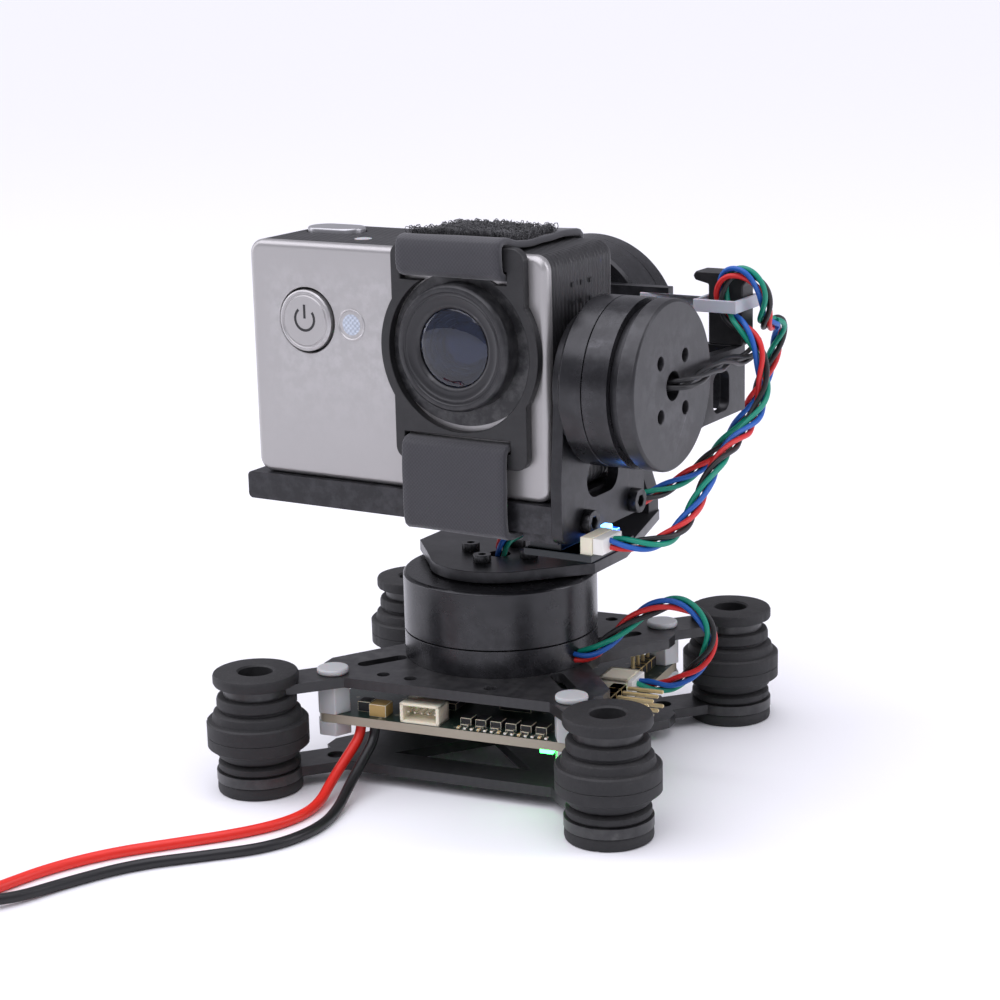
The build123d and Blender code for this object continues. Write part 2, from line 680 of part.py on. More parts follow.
# --- Action camera -----------------------------------------------------------------------
button_x = -25.0
button_z = 78.3
button_r = 5.45
shutter_x = -28.3
shutter_y = -6.0
shutter_fit = 0.25
with BuildPart() as camera_body:
    with BuildSketch(Plane.XZ.offset(-camera_back_y)):
        with Locations((camera_x, camera_z)):
            RectangleRounded(camera_w, camera_h, 2.6)
    extrude(amount=camera_d - face_t)
    fillet(camera_body.faces().sort_by(Axis.Y)[-1].edges(), 1.5)
    with BuildSketch(Plane.XZ.offset(-camera_front_y - face_t)):
        with Locations((lens_x, lens_z)):
            Circle(barrel_r + 0.1)
        with Locations((button_x, button_z)):
            Circle(button_r - 1.0)
    extrude(amount=-8.0, mode=Mode.SUBTRACT)
    with BuildSketch(Plane.XY.offset(camera_top_z)):
        with Locations((shutter_x, shutter_y)):
            SlotOverall(11.0 + 2 * shutter_fit, 6.4 + 2 * shutter_fit)
    extrude(amount=-2.4, mode=Mode.SUBTRACT)
save(camera_body, "camera_body", True)

with BuildPart() as faceplate:
    with BuildSketch(Plane.XZ.offset(-camera_front_y - face_t)):
        with Locations((camera_x, camera_z)):
            RectangleRounded(camera_w, camera_h, 2.6)
    extrude(amount=face_t)
    fillet(faceplate.faces().sort_by(Axis.Y)[0].edges(), 1.2)
    with BuildSketch(Plane.XZ.offset(-camera_front_y - face_t)):
        with Locations((lens_x, lens_z)):
            Circle(barrel_r + 0.1)
        with Locations((button_x, button_z)):
            Circle(button_r + 0.25)
    extrude(amount=face_t, mode=Mode.SUBTRACT)
save(faceplate, "camera_faceplate", True)

glass_recess = 1.2
with BuildPart() as barrel:
    with BuildSketch(Plane.XZ.offset(-camera_front_y - 8.0)):
        with Locations((lens_x, lens_z)):
            Circle(barrel_r)
    extrude(amount=8.0 + barrel_out)
    chamfer(barrel.edges().group_by(Axis.Y)[0], 0.5)
    with BuildSketch(Plane.XZ.offset(-camera_front_y + barrel_out)):
        with Locations((lens_x, lens_z)):
            Circle(glass_r)
    extrude(amount=-glass_recess - 3.0, mode=Mode.SUBTRACT)
save(barrel, "lens_barrel", True)

with BuildPart() as glass:
    with BuildSketch(Plane.XZ.offset(-camera_front_y + barrel_out - glass_recess)):
        with Locations((lens_x, lens_z)):
            Circle(glass_r)
    extrude(amount=-3.0)
save(glass, "lens_glass", True)

with BuildPart() as mode_button:
    with BuildSketch(Plane.XZ.offset(-camera_front_y + 0.7)):
        with Locations((button_x, button_z)):
            Circle(button_r)
    extrude(amount=-2.0)
    with BuildSketch(Plane.XZ.offset(-camera_front_y - 1.3)):
        with Locations((button_x, button_z)):
            Circle(2.5)
    extrude(amount=-6.0)
save(mode_button, "mode_button", True)

with BuildPart() as shutter_button:
    with BuildSketch(Plane.XY.offset(camera_top_z + 0.8)):
        with Locations((shutter_x, shutter_y)):
            SlotOverall(11.0, 6.4)
    extrude(amount=-2.4)
    fillet(shutter_button.faces().sort_by(Axis.Z)[-1].edges(), 0.4)
save(shutter_button, "shutter_button", True)

# --- Front retainer and the strap that pulls it on ---------------------------------------
slot_high_z = 88.0
slot_low_z = 60.0
slot_h = strap_t + 0.8
strap_x = lens_x - 0.7
retainer_z = (retainer_bottom_z + retainer_top_z) / 2
with BuildPart() as retainer:
    with BuildSketch(Plane.XZ.offset(-camera_front_y)):
        with Locations((lens_x, retainer_z)):
            RectangleRounded(retainer_w, retainer_top_z - retainer_bottom_z, 2.2)
        with Locations((lens_x, lens_z - 1.0)):
            Circle(retainer_bulge_r)
            Circle(retainer_hole_r, mode=Mode.SUBTRACT)
        with Locations((strap_x, slot_high_z), (strap_x, slot_low_z)):
            Rectangle(strap_w + 0.6, slot_h, mode=Mode.SUBTRACT)
    extrude(amount=retainer_t)
save(retainer, "front_retainer", True)

strap_front = camera_front_y - retainer_t - soft_gap
strap_inner = camera_front_y - soft_gap
strap_back = camera_back_y + 0.9
strap_over = retainer_top_z + soft_gap
strap_top = camera_top_z + soft_gap
strap_under = lip_low_z - soft_gap
with BuildPart() as strap:
    with BuildSketch(Plane.YZ.offset(strap_x - strap_w / 2)):
        with BuildLine():
            Polyline(
                (strap_inner, slot_high_z - strap_t / 2), (strap_front - strap_t, slot_high_z - strap_t / 2),
                (strap_front - strap_t, strap_over + 0.4), (strap_front - 0.4, strap_over + strap_t),
                (strap_inner + 1.4, strap_over + strap_t), (strap_inner + 4.4, strap_top + strap_t),
                (strap_back + 0.2, strap_top + strap_t), (strap_back + strap_t, strap_top + 0.2),
                (strap_back + strap_t, strap_under - 0.2), (strap_back + 0.2, strap_under - strap_t),
                (strap_front + 0.2, strap_under - strap_t), (strap_front - strap_t, strap_under + 0.2),
                (strap_front - strap_t, slot_low_z + strap_t / 2), (strap_inner, slot_low_z + strap_t / 2),
                (strap_inner, slot_low_z - strap_t / 2), (strap_front, slot_low_z - strap_t / 2),
                (strap_front, strap_under), (strap_back, strap_under), (strap_back, strap_top),
                (strap_inner + 3.4, strap_top), (strap_inner + 0.8, strap_over), (strap_front, strap_over),
                (strap_front, slot_high_z + strap_t / 2), (strap_inner, slot_high_z + strap_t / 2), close=True,
            )
        make_face()
    extrude(amount=strap_w)
save(strap, "strap", True)


# --- Cords -------------------------------------------------------------------------------
def cord_radii(points):
    """The arc at each corner of a route: 0.45 of the shorter run over the tangent of half the turn."""
    vectors = [Vector(*p) for p in points]
    radii = []
    for before, here, after in zip(vectors, vectors[1:], vectors[2:]):
        turn = (here - before).get_angle(after - here)
        shorter = min((here - before).length, (after - here).length)
        radii.append(0.45 * shorter / tan(radians(turn / 2)))
    return radii


def cord(name, points, diameter, on_head=False):
    """A round cord along straight runs joined by tangent arcs. Prints its arcs and its volume."""
    radii = cord_radii(points)
    with BuildPart() as tube:
        with BuildLine() as route:
            FilletPolyline(*points, radius=radii)
        path = route.wires()[0]
        with BuildSketch(Plane(path @ 0, z_dir=path % 0)):
            Circle(diameter / 2)
        sweep(path=path)
    expected = path.length * pi * diameter ** 2 / 4
    print(name, "arcs", [round(r, 1) for r in radii], "length", round(path.length, 1),
          "volume ratio", round(tube.part.volume / expected, 4))
    save(tube, name, on_head)


imu_route = [
    (plug_face_x, plug_y, plug_z), (33.8, plug_y, plug_z), (37.2, -13.4, 43.9), (39.2, -8.6, 44.6),
    (40.0, -2.8, 47.8), (40.6, 1.8, 53.0), (41.0, 9.0, 56.6), (41.4, 16.2, 58.8), (41.8, 20.4, 62.6),
    (41.7, 20.4, 67.4), (41.3, 19.6, 71.6), (38.8, 19.4, 74.8), (34.8, 20.6, 76.6), (33.4, 20.7, 80.4),
    (34.6, 20.7, 84.0), (38.0, 21.0, 84.6), (40.6, 22.6, 81.6), (40.3, 25.0, 77.6), (38.7, 26.8, 73.9),
    (38.7, 31.4, 73.9),
]
cord("imu_cable", imu_route, signal_d, True)

head_route = [
    (38.7, 31.4, 73.9), (38.7, 35.2, 73.9), (37.1, 36.9, 69.8), (34.2, 38.6, 63.2), (28.8, 38.8, 52.6),
    (20.4, 35.6, 43.0), (12.4, 25.6, 39.2), (6.0, 13.6, 38.1), (2.8, 6.6, 38.0), (0.2, 0.9, 37.8),
    (0.1, 0.1, 32.4), (0.0, 0.0, 21.3), (0.0, 0.0, board_top_z),
]
cord("head_cable", head_route, signal_d, True)

cord("pitch_motor_leads", [
    (arm_right_x + 0.2, pitch_axis_y, 69.8), (39.6, pitch_axis_y, 69.8), (41.6, -5.8, 70.2), (41.2, 1.4, 70.9),
    (39.8, 9.0, 70.6), (38.4, 15.4, 69.8), (38.2, 19.8, 69.2), (39.2, 22.8, 70.2), (39.2, 23.8, 72.6),
    (saddle_high_x, 23.8, 72.6),
], motor_lead_d, True)

socket_mouth_x = socket_x + 2.7
yaw_plug_face_x = socket_mouth_x + 1.0
yaw_plug_z = board_top_z + 1.8
with BuildPart() as yaw_plug:
    with BuildSketch(Plane.YZ.offset(socket_mouth_x - 3.9)):
        with Locations((socket_y, yaw_plug_z)):
            Rectangle(5.0, 2.2)
    extrude(amount=3.9)
    with BuildSketch(Plane.YZ.offset(socket_mouth_x)):
        with Locations((socket_y, yaw_plug_z)):
            Rectangle(6.2, 3.2)
    extrude(amount=yaw_plug_face_x - socket_mouth_x)
save(yaw_plug, "yaw_cable_plug")

cord("yaw_motor_cable", [
    (16.4, -4.9, deck_z + 1.8), (19.2, -5.6, 19.3), (22.8, -4.4, 22.4), (27.0, -1.4, 26.6),
    (32.2, 1.2, 28.9), (37.0, 2.2, 26.8), (39.2, 2.6, 22.4), (37.2, 2.8, 17.4), (33.2, socket_y, 13.8),
    (30.0, socket_y, yaw_plug_z), (yaw_plug_face_x, socket_y, yaw_plug_z),
], signal_d)

lead_z = floor_z + power_d / 2
coil_x = -63.0
coil_y = -95.0
cord("power_lead_red", [
    (-17.2, -22.8, board_bottom_z), (-17.2, -22.8, 6.4), (-17.9, -26.4, 3.9), (-18.6, -31.8, 0.8),
    (-17.8, -38.6, lead_z), (-18.8, -46.4, lead_z), (-23.6, -53.6, lead_z), (-31.6, -61.2, lead_z),
    (-39.8, -68.8, lead_z), (-45.6, -77.6, lead_z), (-48.9, -86.6, lead_z), (-50.6, -93.0, lead_z),
], power_d)
cord("power_lead_black", [
    (-14.5, -22.8, board_bottom_z), (-14.5, -22.8, 6.2), (-14.9, -26.6, 3.5), (-15.0, -32.4, 0.5),
    (-13.6, -39.8, lead_z), (-13.0, -48.6, lead_z), (-16.6, -57.6, lead_z), (-24.6, -64.4, lead_z),
    (-33.6, -71.6, lead_z), (-39.8, -81.4, lead_z), (-44.4, -91.6, lead_z), (-50.4, -98.8, lead_z),
], power_d)

with BuildPart() as coil:
    with BuildSketch(Plane.XY.offset(floor_z)):
        with Locations((coil_x, coil_y)):
            Circle(coil_mid_r + coil_half_w)
            Circle(coil_mid_r - coil_half_w, mode=Mode.SUBTRACT)
    extrude(amount=coil_h)
save(coil, "power_lead_coil")

tail_x = coil_x - coil_mid_r - coil_half_w
plug_x = tail_x - 9.0
tail_gap = 3.2
with BuildPart() as tails:
    with BuildSketch(Plane.YZ.offset(tail_x + 0.6)):
        with Locations((coil_y - tail_gap / 2, lead_z), (coil_y + tail_gap / 2, lead_z)):
            Circle(power_d / 2)
    extrude(amount=plug_x - tail_x - 0.6)
save(tails, "power_lead_tails")

with BuildPart() as power_plug:
    with BuildSketch(Plane.YZ.offset(plug_x)):
        with Locations((coil_y, floor_z + 2.6)):
            RectangleRounded(8.4, 5.2, 0.8)
    extrude(amount=-13.0)
save(power_plug, "power_plug")
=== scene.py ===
"""Builds a three-axis camera gimbal on a rubber-damped base, with an action camera strapped in its tray."""

import json
from math import atan2, cos, pi, radians, sin, sqrt

import bmesh
import bpy
from bpy.props import FloatProperty, FloatVectorProperty, IntProperty, PointerProperty
from mathutils import Euler, Matrix, Vector


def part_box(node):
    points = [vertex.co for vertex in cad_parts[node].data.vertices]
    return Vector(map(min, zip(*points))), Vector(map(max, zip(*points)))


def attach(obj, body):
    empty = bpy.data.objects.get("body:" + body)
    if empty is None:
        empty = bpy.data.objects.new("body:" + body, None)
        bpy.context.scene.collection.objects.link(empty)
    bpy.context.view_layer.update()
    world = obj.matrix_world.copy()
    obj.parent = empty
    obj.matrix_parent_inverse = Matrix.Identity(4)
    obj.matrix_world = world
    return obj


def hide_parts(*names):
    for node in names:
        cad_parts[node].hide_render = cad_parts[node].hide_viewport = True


bl_info = {
    "name": "Camera Gimbal Builder",
    "version": (1, 0, 0),
    "blender": (4, 5, 0),
    "location": "View3D > Sidebar > Gimbal",
    "description": "Builds a three-axis camera gimbal, its wiring and its strapped camera",
    "category": "Object",
}

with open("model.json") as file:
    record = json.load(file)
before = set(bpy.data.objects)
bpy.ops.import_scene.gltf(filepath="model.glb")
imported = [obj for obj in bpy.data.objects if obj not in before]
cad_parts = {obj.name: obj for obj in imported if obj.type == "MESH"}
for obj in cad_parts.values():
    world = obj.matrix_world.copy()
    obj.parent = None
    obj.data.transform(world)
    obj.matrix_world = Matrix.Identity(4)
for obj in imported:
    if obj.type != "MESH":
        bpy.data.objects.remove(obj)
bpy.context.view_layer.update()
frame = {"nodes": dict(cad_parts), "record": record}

MM = 0.001
HEAD_TURN = radians(-7.4)      # how far the head rests turned on the base
HEAD = Matrix.Rotation(HEAD_TURN, 4, "Z")
FLOOR_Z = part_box("damper_front_left")[0][2]


def base_point(x, y, z):
    """A point given in millimetres along the base's own axes."""
    return Vector((x, y, z)) * MM


def head_point(x, y, z):
    """A point given in millimetres along the head's own axes."""
    return HEAD @ (Vector((x, y, z)) * MM)


# --- Sizes and colours -------------------------------------------------------------------
def size(name, text, default):
    return FloatProperty(name=name, description=text, default=default, min=0.0, unit="LENGTH", precision=5)


def colour(name, text, default):
    return FloatVectorProperty(name=name, description=text, default=default, size=3, min=0, max=1,
                               subtype="COLOR")


class GimbalSizes(bpy.types.PropertyGroup):
    machined_edge: size("Machined edge", "Width of the broken edge on machined parts", 0.00028)
    plate_edge: size("Plate edge", "Width of the broken edge on the plates", 0.00016)
    power_wire: size("Power wire", "Diameter of each power lead", 0.0018)
    signal_bundle: size("Signal bundle", "Outer diameter of a twisted four-wire lead", 0.0028)
    signal_wire: size("Signal wire", "Diameter of one wire in a twisted lead", 0.00098)
    signal_twist: size("Signal twist", "Length of one full turn of the twist", 0.019)
    motor_wire: size("Motor wire", "Diameter of one black motor wire", 0.00085)
    pile_height: size("Pile height", "Height of the loop pile on the strap", 0.0017)
    pile_count: IntProperty(name="Pile count", description="Number of loops in the strap's pile",
                            default=2600, min=0)
    seed: IntProperty(name="Seed", description="Seed for everything scattered", default=7)


class GimbalColours(bpy.types.PropertyGroup):
    anodised: colour("Anodised", "Black anodised aluminium", (0.012, 0.012, 0.014))
    laminate: colour("Laminate", "Glass-fibre plate", (0.010, 0.010, 0.011))
    rubber: colour("Rubber", "Damper rubber", (0.009, 0.009, 0.010))
    silver: colour("Silver", "Camera front", (0.43, 0.42, 0.415))
    shell: colour("Shell", "Camera shell", (0.010, 0.010, 0.011))
    strap: colour("Strap", "Strap webbing", (0.019, 0.019, 0.023))
    nylon: colour("Nylon", "Natural nylon hardware", (0.50, 0.51, 0.51))
    socket: colour("Socket", "Cream connector plastic", (0.80, 0.74, 0.58))
    power_red: colour("Power red", "Positive power lead", (0.78, 0.025, 0.015))
    power_black: colour("Power black", "Negative power lead", (0.010, 0.010, 0.011))
    wire_green: colour("Green wire", "First wire of a twisted lead", (0.0, 0.25, 0.16))
    wire_blue: colour("Blue wire", "Second wire of a twisted lead", (0.01, 0.10, 0.42))
    wire_red: colour("Red wire", "Third wire of a twisted lead", (0.62, 0.02, 0.02))
    wire_black: colour("Black wire", "Fourth wire of a twisted lead", (0.012, 0.012, 0.013))


def sizes():
    return bpy.context.scene.gimbal_sizes


def colours():
    return bpy.context.scene.gimbal_colours


# --- Shader groups -----------------------------------------------------------------------
def node_group(name, inputs, outputs):
    """A new shader group with named sockets, and its input and output nodes."""
    group = bpy.data.node_groups.new(name, "ShaderNodeTree")
    for label, kind, value in inputs:
        socket = group.interface.new_socket(label, in_out="INPUT", socket_type=kind)
        socket.default_value = value
    for label, kind in outputs:
        group.interface.new_socket(label, in_out="OUTPUT", socket_type=kind)
    return group, group.nodes.new("NodeGroupInput"), group.nodes.new("NodeGroupOutput")


def math_node(tree, operation, first, second=None, clamp=False):
    node = tree.nodes.new("ShaderNodeMath")
    node.operation = operation
    node.use_clamp = clamp
    for index, value in enumerate((first, second)):
        if value is None:
            continue
        if isinstance(value, (int, float)):
            node.inputs[index].default_value = value
        else:
            tree.links.new(value, node.inputs[index])
    return node.outputs[0]


def mix_colour(tree, factor, first, second):
    node = tree.nodes.new("ShaderNodeMix")
    node.data_type = "RGBA"
    for socket, value in ((node.inputs[0], factor), (node.inputs[6], first), (node.inputs[7], second)):
        if hasattr(value, "links"):
            tree.links.new(value, socket)
        else:
            socket.default_value = value
    return node.outputs[2]


def noise(tree, vector, scale, detail=3.0, roughness=0.5):
    node = tree.nodes.new("ShaderNodeTexNoise")
    node.inputs["Detail"].default_value = detail
    node.inputs["Roughness"].default_value = roughness
    tree.links.new(vector, node.inputs["Vector"])
    if isinstance(scale, (int, float)):
        node.inputs["Scale"].default_value = scale
    else:
        tree.links.new(scale, node.inputs["Scale"])
    return node.outputs["Fac"]


def bump(tree, height, strength, distance, normal=None):
    node = tree.nodes.new("ShaderNodeBump")
    node.inputs["Distance"].default_value = distance
    tree.links.new(height, node.inputs["Height"])
    if isinstance(strength, (int, float)):
        node.inputs["Strength"].default_value = strength
    else:
        tree.links.new(strength, node.inputs["Strength"])
    if normal is not None:
        tree.links.new(normal, node.inputs["Normal"])
    return node.outputs["Normal"]


def build_surface_grain():
    """Blotchy tone, uneven gloss and a fine tooth: the finish of blasted metal, moulded plastic or rubber."""
    group, given, result = node_group("surface_grain", [
        ("Vector", "NodeSocketVector", (0, 0, 0)), ("Tone", "NodeSocketColor", (0.5, 0.5, 0.5, 1)),
        ("Tone Spread", "NodeSocketFloat", 0.15), ("Roughness", "NodeSocketFloat", 0.5),
        ("Roughness Spread", "NodeSocketFloat", 0.1), ("Grain Scale", "NodeSocketFloat", 3000.0),
        ("Grain Strength", "NodeSocketFloat", 0.1),
    ], [("Color", "NodeSocketColor"), ("Roughness", "NodeSocketFloat"), ("Normal", "NodeSocketVector")])
    vector = given.outputs["Vector"]
    cloud = noise(group, vector, 160.0, 4.0, 0.6)
    speck = noise(group, vector, given.outputs["Grain Scale"], 2.0, 0.6)
    shade = math_node(group, "MULTIPLY", math_node(group, "SUBTRACT", cloud, 0.5), 2.0)
    tone = math_node(group, "ADD", 1.0, math_node(group, "MULTIPLY", shade, given.outputs["Tone Spread"]))
    scaled = group.nodes.new("ShaderNodeVectorMath")
    scaled.operation = "SCALE"
    group.links.new(given.outputs["Tone"], scaled.inputs[0])
    group.links.new(tone, scaled.inputs["Scale"])
    spread = math_node(group, "MULTIPLY", shade, given.outputs["Roughness Spread"])
    group.links.new(scaled.outputs[0], result.inputs["Color"])
    group.links.new(math_node(group, "ADD", given.outputs["Roughness"], spread, True),
                    result.inputs["Roughness"])
    group.links.new(bump(group, speck, given.outputs["Grain Strength"], 0.00006), result.inputs["Normal"])
    return group


def build_edge_wear_and_highlight():
    """A mask of rubbed high edges, also a painted highlight along them, broken up so that only some of each
    edge shows.
    """
    group, given, result = node_group("edge_wear_and_highlight", [
        ("Vector", "NodeSocketVector", (0, 0, 0)), ("Amount", "NodeSocketFloat", 0.5),
    ], [("Mask", "NodeSocketFloat")])
    geometry = group.nodes.new("ShaderNodeNewGeometry")
    # Sharp edges are picked by pointiness: partly real wear, partly a painted highlight where edges catch the
    # light.
    sharp = math_node(group, "MULTIPLY", math_node(group, "SUBTRACT", geometry.outputs["Pointiness"], 0.515),
                      14.0, True)
    patch = noise(group, given.outputs["Vector"], 420.0, 5.0, 0.65)
    broken = math_node(group, "MULTIPLY", math_node(group, "SUBTRACT", patch, 0.42), 5.0, True)
    mask = math_node(group, "MULTIPLY", math_node(group, "MULTIPLY", sharp, broken), given.outputs["Amount"],
                     True)
    group.links.new(mask, result.inputs["Mask"])
    return group


def build_settled_dust():
    """A thin mask of dust on faces that look up, thicker in patches."""
    group, given, result = node_group("settled_dust", [
        ("Vector", "NodeSocketVector", (0, 0, 0)), ("Amount", "NodeSocketFloat", 0.2),
    ], [("Mask", "NodeSocketFloat")])
    geometry = group.nodes.new("ShaderNodeNewGeometry")
    parts = group.nodes.new("ShaderNodeSeparateXYZ")
    group.links.new(geometry.outputs["Normal"], parts.inputs[0])
    up = math_node(group, "ADD", math_node(group, "MULTIPLY", parts.outputs["Z"], 0.8), 0.2, True)
    patch = noise(group, given.outputs["Vector"], 260.0, 6.0, 0.7)
    fleck = noise(group, given.outputs["Vector"], 2600.0, 3.0, 0.7)
    flecks = math_node(group, "MULTIPLY", math_node(group, "SUBTRACT", fleck, 0.56), 5.0, True)
    soft = math_node(group, "ADD", math_node(group, "MULTIPLY", patch, 0.35), flecks)
    mask = math_node(group, "MULTIPLY", math_node(group, "MULTIPLY", up, soft), given.outputs["Amount"], True)
    group.links.new(mask, result.inputs["Mask"])
    return group


def build_cross_ribs():
    """Two sets of ribs crossing at right angles: woven webbing, laminate cloth or a chequered shell."""
    group, given, result = node_group("cross_ribs", [
        ("Vector", "NodeSocketVector", (0, 0, 0)), ("Pitch Scale", "NodeSocketFloat", 1000.0),
        ("Strength", "NodeSocketFloat", 0.5),
    ], [("Mask", "NodeSocketFloat"), ("Normal", "NodeSocketVector")])
    parts = group.nodes.new("ShaderNodeSeparateXYZ")
    group.links.new(given.outputs["Vector"], parts.inputs[0])
    waves = []
    for axis in ("X", "Y"):
        turned = math_node(group, "MULTIPLY", parts.outputs[axis], given.outputs["Pitch Scale"])
        waves.append(math_node(group, "SINE", math_node(group, "MULTIPLY", turned, 2 * pi)))
    woven = math_node(group, "ADD", math_node(group, "MULTIPLY",
                                              math_node(group, "MULTIPLY", waves[0], waves[1]), 0.5), 0.5)
    group.links.new(woven, result.inputs["Mask"])
    group.links.new(bump(group, woven, given.outputs["Strength"], 0.00015), result.inputs["Normal"])
    return group


GROUPS = {}


def use_group(tree, name, **values):
    """Places a shader group in a material; a value may be a number, a colour or another node's output."""
    if name not in GROUPS:
        GROUPS[name] = {
            "surface_grain": build_surface_grain, "edge_wear_and_highlight": build_edge_wear_and_highlight,
            "settled_dust": build_settled_dust, "cross_ribs": build_cross_ribs,
        }[name]()
    node = tree.nodes.new("ShaderNodeGroup")
    node.node_tree = GROUPS[name]
    for label, value in values.items():
        socket = node.inputs[label.replace("_", " ")]
        if hasattr(value, "links"):
            tree.links.new(value, socket)
        else:
            socket.default_value = value
    return node.outputs


# --- Materials ---------------------------------------------------------------------------
MATERIALS = {}


def opaque(rgb):
    return (rgb[0], rgb[1], rgb[2], 1.0)


def finish(name, rgb, rough, metal=0.0, tone=0.15, rough_spread=0.08, grain=(3000.0, 0.15),
           edge_wear_and_highlight_amount=0.0, edge_wear_and_highlight_colour=(0.5, 0.5, 0.5), dust=0.0, ribs=None, fixed=None):
    """A material in its own right: grain, rubbed edges with a painted edge highlight, dust and ribs feed one
    Principled shader.
    """
    if name in MATERIALS:
        return MATERIALS[name]
    material = bpy.data.materials.new(name)
    material.use_nodes = True
    tree = material.node_tree
    shader = tree.nodes["Principled BSDF"]
    place = tree.nodes.new("ShaderNodeTexCoord").outputs["Object"]
    grained = use_group(
        tree, "surface_grain", Vector=place, Tone=opaque(rgb), Tone_Spread=tone, Roughness=rough,
        Roughness_Spread=rough_spread, Grain_Scale=grain[0], Grain_Strength=grain[1])
    shown, gloss, normal = grained["Color"], grained["Roughness"], grained["Normal"]
    if ribs:
        turn = tree.nodes.new("ShaderNodeMapping")
        turn.inputs["Rotation"].default_value = ribs[2]
        if len(ribs) > 3:
            uv = tree.nodes.new("ShaderNodeUVMap")
            uv.uv_map = ribs[3]
            tree.links.new(uv.outputs[0], turn.inputs["Vector"])
        else:
            tree.links.new(place, turn.inputs["Vector"])
        woven = use_group(tree, "cross_ribs", Vector=turn.outputs[0], Pitch_Scale=ribs[0], Strength=ribs[1])
        shown = mix_colour(tree, math_node(tree, "MULTIPLY", woven["Mask"], 0.6), shown,
                           opaque([c * 2.1 for c in rgb]))
        normal = woven["Normal"]
    # Edges mix towards a lighter colour: partly wear, partly a painted edge highlight.
    if edge_wear_and_highlight_amount:
        edge_wear_and_highlight_mask = use_group(tree, "edge_wear_and_highlight", Vector=place, Amount=edge_wear_and_highlight_amount)["Mask"]
        shown = mix_colour(tree, edge_wear_and_highlight_mask, shown, opaque(edge_wear_and_highlight_colour))
    if dust:
        dusty = use_group(tree, "settled_dust", Vector=place, Amount=dust)["Mask"]
        shown = mix_colour(tree, dusty, shown, (0.42, 0.40, 0.37, 1.0))
        gloss = math_node(tree, "ADD", gloss, math_node(tree, "MULTIPLY", dusty, 0.5), True)
    tree.links.new(shown, shader.inputs["Base Color"])
    tree.links.new(gloss, shader.inputs["Roughness"])
    tree.links.new(normal, shader.inputs["Normal"])
    shader.inputs["Metallic"].default_value = metal
    for socket, value in (fixed or {}).items():
        shader.inputs[socket].default_value = value
    MATERIALS[name] = material
    return material


def anodised():
    return finish("anodised_black", colours().anodised, 0.34, 0.35, 0.2, 0.07, (5200.0, 0.10), 0.35,
                  (0.10, 0.10, 0.11), 0.02, fixed={"Specular IOR Level": 0.62})


def turned_black():
    return finish("turned_black", colours().anodised, 0.27, 0.35, 0.16, 0.05, (4200.0, 0.06), 0.4,
                  (0.12, 0.12, 0.13), 0.015, fixed={"Specular IOR Level": 0.68})


def grey_face():
    return finish("grey_sheen", (0.030, 0.030, 0.032), 0.36, 0.45, 0.18, 0.06, (5200.0, 0.10), 0.4,
                  (0.2, 0.2, 0.21), 0.02, fixed={"Specular IOR Level": 0.7})


def laminate():
    return finish("plate_laminate", colours().laminate, 0.36, 0.0, 0.2, 0.08, (2400.0, 0.08), 0.25,
                  (0.16, 0.16, 0.15), 0.05, ribs=(420.0, 0.05, (0, 0, radians(45))),
                  fixed={"Specular IOR Level": 0.6})


def rubber():
    return finish("damper_rubber", colours().rubber, 0.62, 0.0, 0.35, 0.08, (1700.0, 0.55), 0.12,
                  (0.08, 0.08, 0.08), 0.10)


def nylon():
    return finish("natural_nylon", colours().nylon, 0.42, 0.0, 0.05, 0.05, (1500.0, 0.05),
                  fixed={"Subsurface Weight": 0.25, "Subsurface Scale": 0.0015})


def black_screw():
    return finish("black_oxide", (0.010, 0.010, 0.011), 0.3, 0.6, 0.2, 0.08, (5000.0, 0.12), 0.5,
                  (0.3, 0.3, 0.31))


def steel():
    return finish("plain_steel", (0.45, 0.45, 0.46), 0.28, 1.0, 0.1, 0.08, (5000.0, 0.08))


def moulded_black():
    return finish("moulded_black", (0.011, 0.011, 0.012), 0.46, 0.0, 0.2, 0.07, (2600.0, 0.32), 0.18,
                  (0.08, 0.08, 0.08), 0.06)


def chip_black():
    return finish("chip_black", (0.018, 0.018, 0.019), 0.5, 0.0, 0.2, 0.06, (3500.0, 0.2))


def socket_cream():
    return finish("socket_cream", colours().socket, 0.42, 0.0, 0.06, 0.05, (2200.0, 0.08),
                  fixed={"Subsurface Weight": 0.15, "Subsurface Scale": 0.001})


def gold():
    return finish("gold_plate", (0.88, 0.74, 0.45), 0.36, 0.85, 0.08, 0.06, (3000.0, 0.06))


def solder():
    return finish("solder", (0.62, 0.62, 0.60), 0.32, 1.0, 0.1, 0.1, (1800.0, 0.3))


def copper():
    return finish("enamelled_copper", (0.34, 0.10, 0.03), 0.35, 0.8, 0.2, 0.08, (1200.0, 0.6))


def wire(name, rgb, rough=0.42):
    return finish(name, rgb, rough, 0.0, 0.08, 0.05, (1400.0, 0.05), dust=0.02,
                  fixed={"Specular IOR Level": 0.45})


def glowing(name, rgb, strength):
    """A lit indicator lamp under clear resin, or a painted glow of a lamp's light on the parts beside it."""
    if name in MATERIALS:
        return MATERIALS[name]
    material = finish(name, rgb, 0.25, 0.0, 0.05, 0.03, (900.0, 0.02))
    shader = material.node_tree.nodes["Principled BSDF"]
    shader.inputs["Emission Color"].default_value = opaque(rgb)
    shader.inputs["Emission Strength"].default_value = strength
    return material


